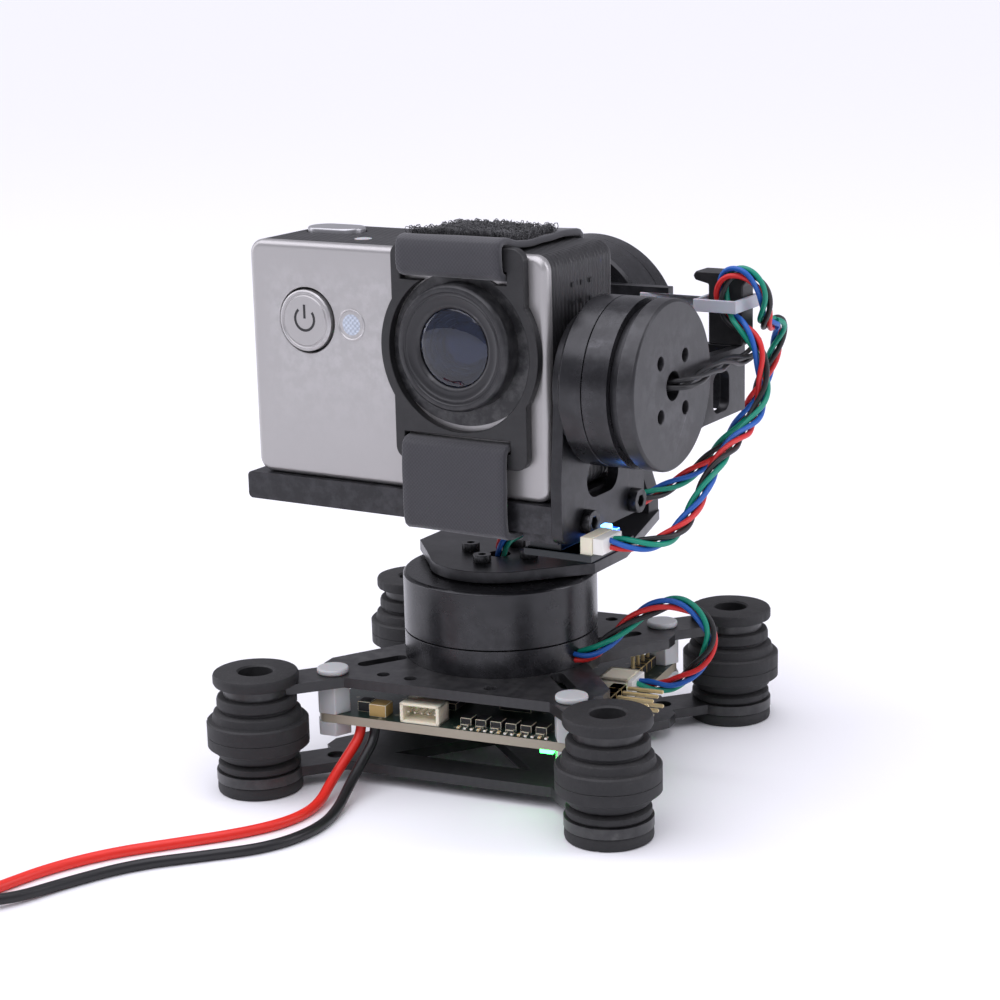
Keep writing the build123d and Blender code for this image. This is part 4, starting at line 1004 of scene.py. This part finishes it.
class GIMBAL_OT_board(bpy.types.Operator):
    """Populates the controller board: chips with legs, sockets, capacitors, pins and its status lamp"""
    bl_idname = "gimbal.board"
    bl_label = "Controller board"

    def execute(self, context):
        dress("controller_board", circuit_board())
        top, under = 10.2, 8.6
        cream, chip, metal, tan = 0, 1, 2, 3
        blocks = [
            # Five-way socket at the front: floor, back and cheeks round an open mouth.
            ((-4.9, -22.6, top + 0.25), (7.4, 4.4, 0.5), cream),
            ((-4.9, -20.75, top + 1.8), (7.4, 0.7, 3.5), cream),
            ((-8.3, -22.6, top + 1.8), (0.6, 4.4, 3.5), cream),
            ((-1.5, -22.6, top + 1.8), (0.6, 4.4, 3.5), cream),
            ((-4.9, -22.9, top + 3.35), (7.4, 3.8, 0.45), cream),
            ((-13.5, -22.2, top + 1.1), (3.2, 3.0, 2.2), tan),
            ((-17.0, -20.6, top + 0.9), (2.4, 2.6, 1.8), chip),
            ((-6.0, -12.0, top + 0.6), (8.0, 8.0, 1.2), chip),
            ((8.0, -10.0, top + 0.6), (6.0, 6.0, 1.2), chip),
            ((6.0, 10.0, top + 0.7), (9.0, 9.0, 1.4), chip), ((-10.0, 8.0, top + 0.6), (7.0, 7.0, 1.2), chip),
            ((0.0, 3.0, under - 0.7), (10.0, 10.0, 1.4), chip),
            ((14.0, -14.0, under - 0.6), (5.0, 4.0, 1.2), chip),
            ((-14.0, 12.0, under - 0.8), (6.0, 5.0, 1.6), chip),
            # Socket of the yaw motor's plug: three walls and a lid.
            ((21.4, 2.8, top + 0.3), (5.4, 6.6, 0.6), cream),
            ((21.4, 2.8, top + 3.3), (5.4, 6.6, 0.6), cream),
            ((21.4, -0.15, top + 1.8), (5.4, 0.7, 3.6), cream),
            ((21.4, 5.75, top + 1.8), (5.4, 0.7, 3.6), cream),
            ((19.0, 2.8, top + 1.8), (0.6, 6.6, 3.6), cream),
        ]
        for index in range(5):
            blocks.append(((-7.4 + 1.25 * index, -22.4, top + 1.7), (0.35, 3.0, 0.35), metal))
        for index in range(6):
            x = 2.9 + 2.8 * index
            blocks.append(((x, -21.4, top + 0.7), (2.0, 2.6, 1.4), chip))
            blocks.append(((x, -23.0, top + 0.25), (1.5, 0.8, 0.5), metal))
        for index in range(14):
            x = 2.3 + 1.25 * index
            blocks.append(((x, -24.3, top + 0.22), (0.55, 0.9, 0.42), metal if index % 3 else tan))
        for side in (-1, 1):
            for index in range(9):
                blocks.append(((0.0 + side * 5.3, 3.0 + (index - 4) * 1.0, under - 0.3), (0.9, 0.4, 0.3),
                               metal))
                blocks.append((((index - 4) * 1.0, 3.0 + side * 5.3, under - 0.3), (0.4, 0.9, 0.3), metal))
        tan_cap = finish("tantalum", (0.45, 0.30, 0.10), 0.45, 0.0, 0.1, 0.06, (1800.0, 0.12))
        mesh = rounded_blocks(blocks, 0.00009)
        place_piece("board_parts", mesh, "root",
                    [socket_cream(), chip_black(), solder(), tan_cap],
                    ["board_components"], 30)

        shape = []
        for row in range(2):
            for column in range(4):
                y = -12.5 + 2.54 * column
                z = top + 1.2 + 2.54 * row
                shape.append(((29.2, y, z), (6.6, 0.64, 0.64), 0))
                shape.append(((24.0, y, top + 1.9), (2.5, 2.48, 4.2), 1))
        for column in range(4):
            y = 11.0 + 2.54 * column
            shape.append(((21.0, y, top + 2.2), (0.64, 0.64, 4.4), 0))
            shape.append(((21.0, y, top + 0.9), (2.5, 2.48, 1.8), 1))
        mesh = rounded_blocks(shape, 0.00014)
        place_piece("pin_rows", mesh, "root", [gold(), chip_black()], ["pin_headers"], 30)

        lamp = rounded_blocks([((18.6, -24.2, under - 0.4), (2.4, 1.0, 0.8), 0),
                               ((22.6, -10.0, under - 0.4), (1.0, 2.0, 0.8), 0)], 0.0001)
        place_piece("status_lamp", lamp, "root",
                    [glowing("green_lamp", (0.04, 1.0, 0.12), 14.0)])
        return {"FINISHED"}


# --- Head --------------------------------------------------------------------------------
class GIMBAL_OT_motors(bpy.types.Operator):
    """Finishes the three motors: turned bells and bases, windings, magnets, bearings and shafts"""
    bl_idname = "gimbal.motors"
    bl_label = "Motors"

    def execute(self, context):
        magnet = finish("nickel_magnet", (0.40, 0.40, 0.41), 0.3, 1.0, 0.1, 0.06, (3000.0, 0.08))
        for axis in ("yaw", "roll", "pitch"):
            eased(axis + "_motor_base", turned_black(), sizes().machined_edge)
            eased(axis + "_bell", turned_black(), sizes().machined_edge)
            dress(axis + "_stator", copper())
            dress(axis + "_magnets", magnet)
            dress(axis + "_bearings", steel())
            dress(axis + "_shaft", steel())
        return {"FINISHED"}


class GIMBAL_OT_arms(bpy.types.Operator):
    """Finishes the two machined arms, the end cap and the block and tie that hold the wires"""
    bl_idname = "gimbal.arms"
    bl_label = "Arms"

    def execute(self, context):
        eased("yaw_arm", anodised(), sizes().machined_edge)
        eased("roll_arm", anodised(), sizes().machined_edge)
        eased("arm_end_cap", grey_face(), sizes().machined_edge)
        eased("cable_saddle", moulded_black(), 0.0003)
        tie = finish("clear_nylon", (0.46, 0.48, 0.53), 0.34, 0.0, 0.05, 0.05, (1500.0, 0.05),
                     fixed={"Subsurface Weight": 0.3, "Subsurface Scale": 0.001})
        eased("cable_tie", tie, 0.00012)
        return {"FINISHED"}


class GIMBAL_OT_tray(bpy.types.Operator):
    """Finishes the camera tray, its bracket and the motion sensor with its blue lamp and a painted blue glow
    beside it
    """
    bl_idname = "gimbal.tray"
    bl_label = "Tray and sensor"

    def execute(self, context):
        eased("camera_tray", anodised(), sizes().machined_edge)
        eased("tray_bracket", anodised(), sizes().machined_edge)
        sensor = eased("imu_board", finish("sensor_board", (0.010, 0.014, 0.016), 0.35, 0.0, 0.2, 0.05,
                                           (1800.0, 0.06)), 0.0001)
        sensor.data.materials.append(socket_cream())
        to_head = HEAD.inverted()
        for face in sensor.data.polygons:
            spot = (to_head @ face.center) / MM
            if spot.z > 42.65 and spot.x > 26.6:
                face.material_index = 1
        # The two blocks in the second slot are a painted glow of the blue lamp's light on the parts beside
        # it, not lamps themselves.
        mesh = rounded_blocks([((26.6, -9.0, 44.6), (1.5, 1.6, 1.3), 0),
                               ((27.4, -7.6, 43.9), (1.4, 1.2, 1.0), 1),
                               ((26.6, -9.8, 43.2), (1.2, 2.6, 1.4), 1),
                               ((24.0, -8.8, 43.0), (5.0, 2.0, 0.8), 2)],
                              0.0001, HEAD)
        place_piece("sensor_lamp", mesh, "cradle",
            [glowing("blue_lamp", (0.12, 0.42, 1.0), 6.0), glowing("painted_blue_glow", (0.01, 0.10, 1.0), 2.2),
             chip_black()])
        return {"FINISHED"}


# --- Camera ------------------------------------------------------------------------------
def front_turned(profile, x, z, segments=96):
    """A lathe shape about an axis that runs forward through a point on the camera's front.
    Heights are distances in front of the head's own XZ plane."""
    at = HEAD @ Matrix.Translation((x * MM, 0, z * MM)) @ Matrix.Rotation(radians(90), 4, "X")
    return turned([(r * MM, h * MM) for r, h in profile], at, segments)


class GIMBAL_OT_camera(bpy.types.Operator):
    """Finishes the camera's shell, silver front, window, lamp, rear screen and port cover"""
    bl_idname = "gimbal.camera"
    bl_label = "Camera"

    def execute(self, context):
        shell = finish("chequered_shell", colours().shell, 0.42, 0.0, 0.2, 0.06, (2200.0, 0.15), 0.15,
                       (0.08, 0.08, 0.08), 0.03, ribs=(620.0, 1.0, (0, 0, radians(38))),
                       fixed={"Specular IOR Level": 0.55})
        eased("camera_body", shell, 0.0002, angle=50)
        eased("camera_faceplate", brushed_silver(), 0.00022, angle=50)

        front = 20.7
        ring = front_turned([(2.3, front - 1.6), (2.75, front - 1.6), (2.75, front + 0.08),
                             (2.6, front + 0.16),
                             (2.42, front + 0.08), (2.3, front - 0.1)], -15.8, 78.1, 64)
        place_piece("window_ring", ring, "cradle", [brushed_silver()], crease=40)
        pane = front_turned([(0.0, front - 1.2), (2.32, front - 1.2), (2.32, front - 0.05),
                             (1.6, front + 0.02),
                             (0.0, front + 0.06)], -15.8, 78.1, 64)
        frosted = finish("frosted_window", (0.34, 0.38, 0.44), 0.22, 0.0, 0.25, 0.05, (900.0, 0.5),
                         ribs=(1100.0, 0.8, (radians(90), 0, 0)),
                         fixed={"Coat Weight": 0.6, "Coat Roughness": 0.05})
        place_piece("window_pane", pane, "cradle", [frosted], crease=40)

        top = 91.75
        at = HEAD @ Matrix.Translation((-17.7 * MM, -13.4 * MM, 0))
        lamp = turned([(r * MM, h * MM) for r, h in [
            (0.0, top - 0.6), (1.5, top - 0.6), (1.5, top + 0.05), (1.2, top + 0.12), (0.0, top + 0.14)]], at,
                      48)
        place_piece("top_lamp", lamp, "cradle", [nylon()], crease=40)

        back = 2.3
        blocks = [((-9.6, back + 0.02, 71.6), (44.0, 0.5, 31.0), 0)]
        mesh = rounded_blocks(blocks, 0.0002, HEAD)
        screen = finish("rear_screen", (0.006, 0.007, 0.009), 0.08, 0.0, 0.05, 0.02, (600.0, 0.01),
                        fixed={"Coat Weight": 1.0, "Coat Roughness": 0.03})
        place_piece("rear_screen", mesh, "cradle", [screen], crease=30)
        blocks = [((16.9, back + 0.02, z), (3.0, 0.7, 4.6), 0) for z in (80.0, 71.6, 63.2)]
        blocks += [((-36.85, -8.5, 70.0), (0.5, 10.0, 22.0), 1), ((-36.95, -8.5, 60.6), (0.5, 4.0, 1.0), 0)]
        blocks += [((22.45, -9.0 + dy, 83.0 + dz), (0.36, 1.0, 1.0), 1) for dy in (-3, 0, 3) for dz in (-3, 0,
                                                            3)]
        mesh = rounded_blocks(blocks, 0.00016, HEAD)
        place_piece("camera_keys_and_covers", mesh, "cradle", [chip_black(), moulded_black()],
                    crease=30)
        return {"FINISHED"}


def ray_to_circle(direction, centre, radius):
    """How far a ray from the origin runs before it leaves a circle that it starts in."""
    along = direction.dot(centre)
    return along + sqrt(max(0.0, along * along - centre.length_squared + radius * radius))


class GIMBAL_OT_lens(bpy.types.Operator):
    """Turns the stepped lens barrel and its coated elements"""
    bl_idname = "gimbal.lens"
    bl_label = "Lens"

    def execute(self, context):
        front, x, z = 24.6, 6.5, 76.2
        barrel = [
            (10.7, 17.8), (10.7, front - 1.0), (10.55, front - 0.45), (10.2, front - 0.1), (9.75, front),
            (9.45, front - 0.06), (9.3, front - 0.22), (9.05, front - 0.26), (8.9, front - 0.16),
            (8.7, front - 0.16),
            (8.5, front - 0.3), (7.6, front - 0.5), (7.35, front - 0.45), (7.1, front - 0.48),
            (6.75, front - 0.7),
            (6.6, front - 0.9), (6.6, 17.8),
        ]
        satin = finish("lens_satin", (0.014, 0.014, 0.016), 0.36, 0.2, 0.15, 0.06, (3200.0, 0.12), 0.45,
                       (0.12, 0.12, 0.12), 0.03, fixed={"Specular IOR Level": 0.6})
        place_piece("lens_barrel_turned", front_turned(barrel, x, z, 128), "cradle", [satin],
                    ["lens_barrel"], 32)
        # A black bezel lies round the barrel and stops short of the retainer's ring below it.
        shape = bmesh.new()
        rings = []
        for step in range(128):
            angle = 2 * pi * step / 128
            direction = Vector((cos(angle), sin(angle)))
            reach = min(ray_to_circle(direction, Vector((0.0, 2.0)), 15.5),
                        ray_to_circle(direction, Vector((0.0, -1.0)), 13.38))
            corners = [(10.6, 21.0), (reach, 21.0), (reach, 20.3), (10.6, 20.3)]
            rings.append([shape.verts.new((x + direction.x * r, -depth, z + direction.y * r)) for r,
                          depth in corners])
        for here, there in zip(rings, rings[1:] + rings[:1]):
            for index in range(4):
                after = (index + 1) % 4
                shape.faces.new((here[index], there[index], there[after], here[after]))
        bmesh.ops.recalc_face_normals(shape, faces=shape.faces)
        bmesh.ops.transform(shape, matrix=HEAD @ Matrix.Scale(MM, 4), verts=shape.verts)
        mesh = mesh_from(shape, "lens_bezel")
        place_piece("lens_bezel", mesh, "cradle", [satin], crease=40)
        funnel = [
            (6.58, front - 1.9), (6.0, front - 2.1), (5.9, front - 2.5), (5.2, front - 2.7),
            (5.1, front - 3.1),
            (4.4, front - 3.3), (4.3, front - 3.7), (3.6, front - 3.9), (3.5, front - 6.0),
            (6.58, front - 6.0),
        ]
        inner = finish("lens_baffle", (0.006, 0.006, 0.007), 0.42, 0.0, 0.1, 0.05, (3000.0, 0.1))
        place_piece("lens_baffles", front_turned(funnel, x, z, 96), "cradle", [inner],
                    crease=32)
        deep = [(0.0, front - 5.6), (3.5, front - 5.6), (3.5, front - 4.6)]
        deep += [(3.5 * cos(radians(a)), front - 4.6 + 1.1 * sin(radians(a))) for a in range(10, 90, 10)]
        deep += [(0.0, front - 3.5)]
        place_piece("lens_inner_element", front_turned(deep, x, z, 64), "cradle",
                    [coated_lens("coated_blue_painted_sheen", (0.002, 0.005, 0.018), (0.02, 0.05, 0.22))], crease=30)
        dome = [(0.0, front - 1.8), (6.55, front - 1.8), (6.57, front - 1.1)]
        dome += [(6.57 * cos(radians(a)), front - 1.1 + 1.0 * sin(radians(a))) for a in range(10, 90, 10)]
        dome += [(0.0, front - 0.1)]
        place_piece("lens_front_element", front_turned(dome, x, z, 96), "cradle",
                    [clear_glass("front_glass", (0.16, 0.22, 0.40))], ["lens_glass"], 30)
        return {"FINISHED"}


class GIMBAL_OT_buttons(bpy.types.Operator):
    """Makes the mode button with its power mark, and the shutter button"""
    bl_idname = "gimbal.buttons"
    bl_label = "Buttons"

    def execute(self, context):
        x, z, face = -25.0, 78.3, 21.4
        disc = [(0.0, 12.8), (2.5, 12.8), (2.5, face - 1.6), (5.3, face - 1.6), (5.3, face - 0.3),
                (5.1, face - 0.08),
                (4.85, face), (4.75, face - 0.02), (4.6, face - 0.16), (4.42, face - 0.16),
                (4.25, face - 0.03),
                (3.0, face - 0.02), (0.0, face - 0.01)]
        place_piece("mode_button_disc", front_turned(disc, x, z, 96), "mode_key",
                    [brushed_silver()],
                    ["mode_button"], 32)
        shape = bmesh.new()
        inner, outer = 1.75, 2.2
        angles = [radians(a) for a in range(128, 413, 15)]
        for a, b in zip(angles, angles[1:]):
            corners = [(r * cos(t), r * sin(t)) for r, t in ((inner, a), (outer, a), (outer, b), (inner, b))]
            shape.faces.new([shape.verts.new((x + px, -face - 0.015, z + 0.3 + pz)) for px, pz in corners])
        bar = [(-0.23, 0.1), (0.23, 0.1), (0.23, 2.5), (-0.23, 2.5)]
        shape.faces.new([shape.verts.new((x + px, -face - 0.015, z + 0.3 + pz)) for px, pz in bar])
        bmesh.ops.remove_doubles(shape, verts=shape.verts, dist=1e-4)
        made = bmesh.ops.extrude_face_region(shape, geom=shape.faces[:])
        raised = [v for v in made["geom"] if isinstance(v, bmesh.types.BMVert)]
        bmesh.ops.translate(shape, verts=raised, vec=(0, 0.12, 0))
        bmesh.ops.recalc_face_normals(shape, faces=shape.faces)
        bmesh.ops.transform(shape, matrix=HEAD @ Matrix.Scale(MM, 4), verts=shape.verts)
        mesh = mesh_from(shape, "power_mark")
        place_piece("power_mark", mesh, "mode_key", [chip_black()], crease=30)
        eased("shutter_button", finish("satin_silver", (0.50, 0.50, 0.51), 0.36, 0.8, 0.08, 0.06,
                                       (3200.0, 0.1)), 0.00012)
        return {"FINISHED"}


class GIMBAL_OT_retainer(bpy.types.Operator):
    """Finishes the front retainer"""
    bl_idname = "gimbal.retainer"
    bl_label = "Front retainer"

    def execute(self, context):
        eased("front_retainer", moulded_black(), 0.0003)
        return {"FINISHED"}


# --- Strap -------------------------------------------------------------------------------
STRAP_ROUTE = [
    (-20.95, 88.0), (-23.5, 88.05), (-23.55, 91.6), (-23.4, 93.6), (-21.9, 94.0), (-20.2, 93.6),
    (-17.4, 92.7),
    (-9.0, 92.75), (0.0, 92.75), (3.0, 92.5), (3.9, 91.3), (3.95, 80.0), (3.95, 60.0), (3.9, 47.0),
    (3.3, 45.2),
    (1.6, 44.8), (-10.0, 44.8), (-21.0, 44.8), (-23.2, 45.1), (-23.55, 46.8), (-23.55, 53.0), (-23.5, 58.6),
    (-23.2, 60.0), (-20.95, 60.0),
]


def smooth_route(route, step):
    """A rounded line guided by a strap's side view in millimetres, with points a step apart in metres."""
    line = centreline([Vector((0.0, y * MM, z * MM)) for y, z in route])
    return evenly_spaced(line, step)


class GIMBAL_OT_strap(bpy.types.Operator):
    """Wraps the strap round camera and tray, with its woven face, slightly curled edges and loop pile"""
    bl_idname = "gimbal.strap"
    bl_label = "Strap"

    def execute(self, context):
        s = sizes()
        left, width, thick = -4.2, 20.0, 1.15
        line = smooth_route(STRAP_ROUTE, 0.0009)
        columns = 14
        shape = bmesh.new()
        uv = shape.loops.layers.uv.new("cloth")
        grid = []
        travelled = 0.0
        for index, spot in enumerate(line):
            before = line[max(index - 1, 0)]
            after = line[min(index + 1, len(line) - 1)]
            along = (after - before).normalized()
            outward = Vector((0.0, along.z, -along.y))
            if index:
                travelled += (spot - line[index - 1]).length
            row = []
            for column in range(columns + 1):
                across = column / columns
                ripple = (0.00005 * sin(travelled * 900 + across * 5)
                          + 0.00007 * sin(travelled * 310 + 2 * across))
                edge_curl = -0.00010 * abs(2 * across - 1) ** 6
                row.append((Vector(((left + width * across) * MM, spot.y,
                                    spot.z)) + outward * (ripple + edge_curl),
                            (across * width * MM, travelled)))
            grid.append(row)
        verts = [[shape.verts.new(HEAD @ point) for point, _ in row] for row in grid]
        for i in range(len(grid) - 1):
            for j in range(columns):
                face = shape.faces.new((verts[i][j], verts[i][j + 1], verts[i + 1][j + 1], verts[i + 1][j]))
                for loop, (a, b) in zip(face.loops, ((i, j), (i, j + 1), (i + 1, j + 1), (i + 1, j))):
                    loop[uv].uv = grid[a][b][1]
        mesh = mesh_from(shape, "strap_cloth")
        work = working_object("strap_work", mesh)
        solid = work.modifiers.new("thickness", "SOLIDIFY")
        solid.thickness = thick * MM
        solid.offset = 0.0
        bevel = work.modifiers.new("edge", "BEVEL")
        bevel.width = 0.0003
        bevel.segments = 2
        bevel.limit_method = "ANGLE"
        webbing = finish("strap_webbing", colours().strap, 0.74, 0.0, 0.25, 0.06, (5200.0, 0.5), 0.0,
                         dust=0.06,
                         ribs=(1500.0, 0.22, (0, 0, 0), "cloth"),
                         fixed={"Sheen Weight": 0.35, "Sheen Roughness": 0.5})
        cloth = place_piece("strap_webbing", baked_mesh(work, "strap_webbing"), "cradle",
                            [webbing],
                            ["strap"], 50)

        # The pile covers the top of the strap, back from its front fold, and a little of its back.
        patch = bmesh.new()
        lift = 0.00058
        low_y, high_y = -20.6, 3.4
        steps = 20
        rows = []
        for step in range(steps + 1):
            y = low_y + (high_y - low_y) * step / steps
            z = 92.72 + max(0.0, min(1.0, (-17.6 - y) / 3.2)) * 1.1 - max(0.0, y - 2.2) * 0.6
            rows.append([patch.verts.new(HEAD @ Vector((x * MM, y * MM, z * MM + lift)))
                         for x in (left + 0.6, left + width / 2, left + width - 0.6)])
        for a, b in zip(rows, rows[1:]):
            for j in range(2):
                patch.faces.new((a[j], a[j + 1], b[j + 1], b[j]))
        bmesh.ops.recalc_face_normals(patch, faces=patch.faces)
        patch_mesh = mesh_from(patch, "pile_patch")
        fibre = finish("pile_fibre", (0.016, 0.016, 0.018), 0.7, 0.0, 0.2, 0.05, (2000.0, 0.1),
                       fixed={"Sheen Weight": 0.3})
        pile_mesh = run_tree(loop_pile_tree(), patch_mesh, "strap_pile", {
            "Material": fibre, "Count": s.pile_count, "Height": s.pile_height, "Seed": s.seed})
        pile = place_piece("strap_pile", pile_mesh, "cradle", [fibre], crease=0)
        return {"FINISHED"}


# --- Stage -------------------------------------------------------------------------------
VIEW_LENS = 84.24                              # focal length in millimetres
VIEW_PLACE = (0.16265, -0.36777, 0.14456)
VIEW_TURN = (76.026, 1.3218, 23.489)           # degrees about X, Y and Z
OVERHEAD_STRENGTH = 2.75
OVERHEAD_SPREAD = radians(80)
BACKDROP_STRENGTH = 0.98                       # how bright the background looks
FILL_STRENGTH = 0.38                           # how much light it gives


def area_light(name, spot, target, size_x, size_y, power, tint=(1, 1, 1)):
    lamp = bpy.data.lights.new(name, "AREA")
    lamp.shape = "RECTANGLE"
    lamp.size, lamp.size_y = size_x, size_y
    lamp.energy = power
    lamp.color = tint
    piece = bpy.data.objects.new(name, lamp)
    piece.location = spot
    piece.rotation_euler = (Vector(target) - Vector(spot)).to_track_quat("-Z", "Y").to_euler()
    bpy.context.scene.collection.objects.link(piece)


class GIMBAL_OT_stage(bpy.types.Operator):
    """Sets the pale floor, the soft lights and the camera"""
    bl_idname = "gimbal.stage"
    bl_label = "Stage"

    def execute(self, context):
        scene = context.scene
        lens = bpy.data.cameras.new("view")
        lens.sensor_width = 36.0
        lens.lens = VIEW_LENS
        lens.clip_start = 0.01
        viewer = bpy.data.objects.new("view", lens)
        viewer.location = VIEW_PLACE
        viewer.rotation_euler = Euler([radians(angle) for angle in VIEW_TURN], "XYZ")
        scene.collection.objects.link(viewer)
        scene.camera = viewer

        floor = bpy.data.meshes.new("floor")
        reach = 6.0
        floor.from_pydata([(-reach, -reach, FLOOR_Z), (reach, -reach, FLOOR_Z), (reach, reach, FLOOR_Z),
                           (-reach, reach, FLOOR_Z)], [], [(0, 1, 2, 3)])
        ground = bpy.data.objects.new("floor", floor)
        scene.collection.objects.link(ground)
        paper = bpy.data.materials.new("floor_paper")
        paper.use_nodes = True
        shader = paper.node_tree.nodes["Principled BSDF"]
        shader.inputs["Base Color"].default_value = (0.93, 0.93, 0.94, 1)
        shader.inputs["Roughness"].default_value = 0.55
        floor.materials.append(paper)

        tint = (0.93, 0.92, 1.0)
        sky = bpy.data.lights.new("overhead", "SUN")
        sky.energy = OVERHEAD_STRENGTH
        sky.angle = OVERHEAD_SPREAD
        sky.color = tint
        above = bpy.data.objects.new("overhead", sky)
        above.rotation_euler = (radians(14), radians(-8), 0)
        scene.collection.objects.link(above)
        area_light("left_panel", (-0.75, -0.10, 0.35), (0, 0, 0.06), 0.30, 0.6, 1.6, tint)
        area_light("right_panel", (0.55, 0.15, 0.30), (0, 0, 0.08), 0.16, 0.5, 1.2, tint)
        area_light("front_panel", (0.10, -0.90, 0.65), (0, 0, 0.04), 0.5, 0.25, 0.7, tint)
        world = bpy.data.worlds.new("studio")
        world.use_nodes = True
        nodes, links = world.node_tree.nodes, world.node_tree.links
        seen = nodes.new("ShaderNodeBackground")
        seen.inputs["Strength"].default_value = BACKDROP_STRENGTH
        lit = nodes["Background"]
        lit.inputs["Color"].default_value = (0.90, 0.89, 1.0, 1.0)
        lit.inputs["Strength"].default_value = FILL_STRENGTH
        seen.inputs["Color"].default_value = (1.0, 1.0, 1.0, 1.0)
        choose, path = nodes.new("ShaderNodeMixShader"), nodes.new("ShaderNodeLightPath")
        links.new(path.outputs["Is Camera Ray"], choose.inputs[0])
        links.new(lit.outputs[0], choose.inputs[1])
        links.new(seen.outputs[0], choose.inputs[2])
        links.new(choose.outputs[0], nodes["World Output"].inputs["Surface"])
        scene.world = world
        scene.view_settings.view_transform = "Standard"
        return {"FINISHED"}


STEPS = (
    GIMBAL_OT_stage, GIMBAL_OT_power_leads, GIMBAL_OT_signal_leads, GIMBAL_OT_motor_leads, GIMBAL_OT_plates,
    GIMBAL_OT_dampers, GIMBAL_OT_hardware, GIMBAL_OT_board, GIMBAL_OT_motors, GIMBAL_OT_arms, GIMBAL_OT_tray,
    GIMBAL_OT_camera, GIMBAL_OT_lens, GIMBAL_OT_buttons, GIMBAL_OT_retainer, GIMBAL_OT_strap,
)


class GIMBAL_PT_builder(bpy.types.Panel):
    """Lists the steps that build the gimbal"""
    bl_idname = "GIMBAL_PT_builder"
    bl_label = "Gimbal"
    bl_space_type = "VIEW_3D"
    bl_region_type = "UI"
    bl_category = "Gimbal"

    def draw(self, context):
        for step in STEPS:
            self.layout.operator(step.bl_idname)
        for group in (context.scene.gimbal_sizes, context.scene.gimbal_colours):
            for name in group.__annotations__:
                self.layout.prop(group, name)


CLASSES = (GimbalSizes, GimbalColours, *STEPS, GIMBAL_PT_builder)


def register():
    for cls in CLASSES:
        bpy.utils.register_class(cls)
    bpy.types.Scene.gimbal_sizes = PointerProperty(type=GimbalSizes)
    bpy.types.Scene.gimbal_colours = PointerProperty(type=GimbalColours)


def unregister():
    del bpy.types.Scene.gimbal_colours
    del bpy.types.Scene.gimbal_sizes
    for cls in reversed(CLASSES):
        bpy.utils.unregister_class(cls)


def main():
    register()
    for step in STEPS:
        group, name = step.bl_idname.split(".")
        if "FINISHED" not in getattr(getattr(bpy.ops, group), name)():
            raise RuntimeError(step.bl_label + " didn't finish")


if __name__ == "__main__":
    main()
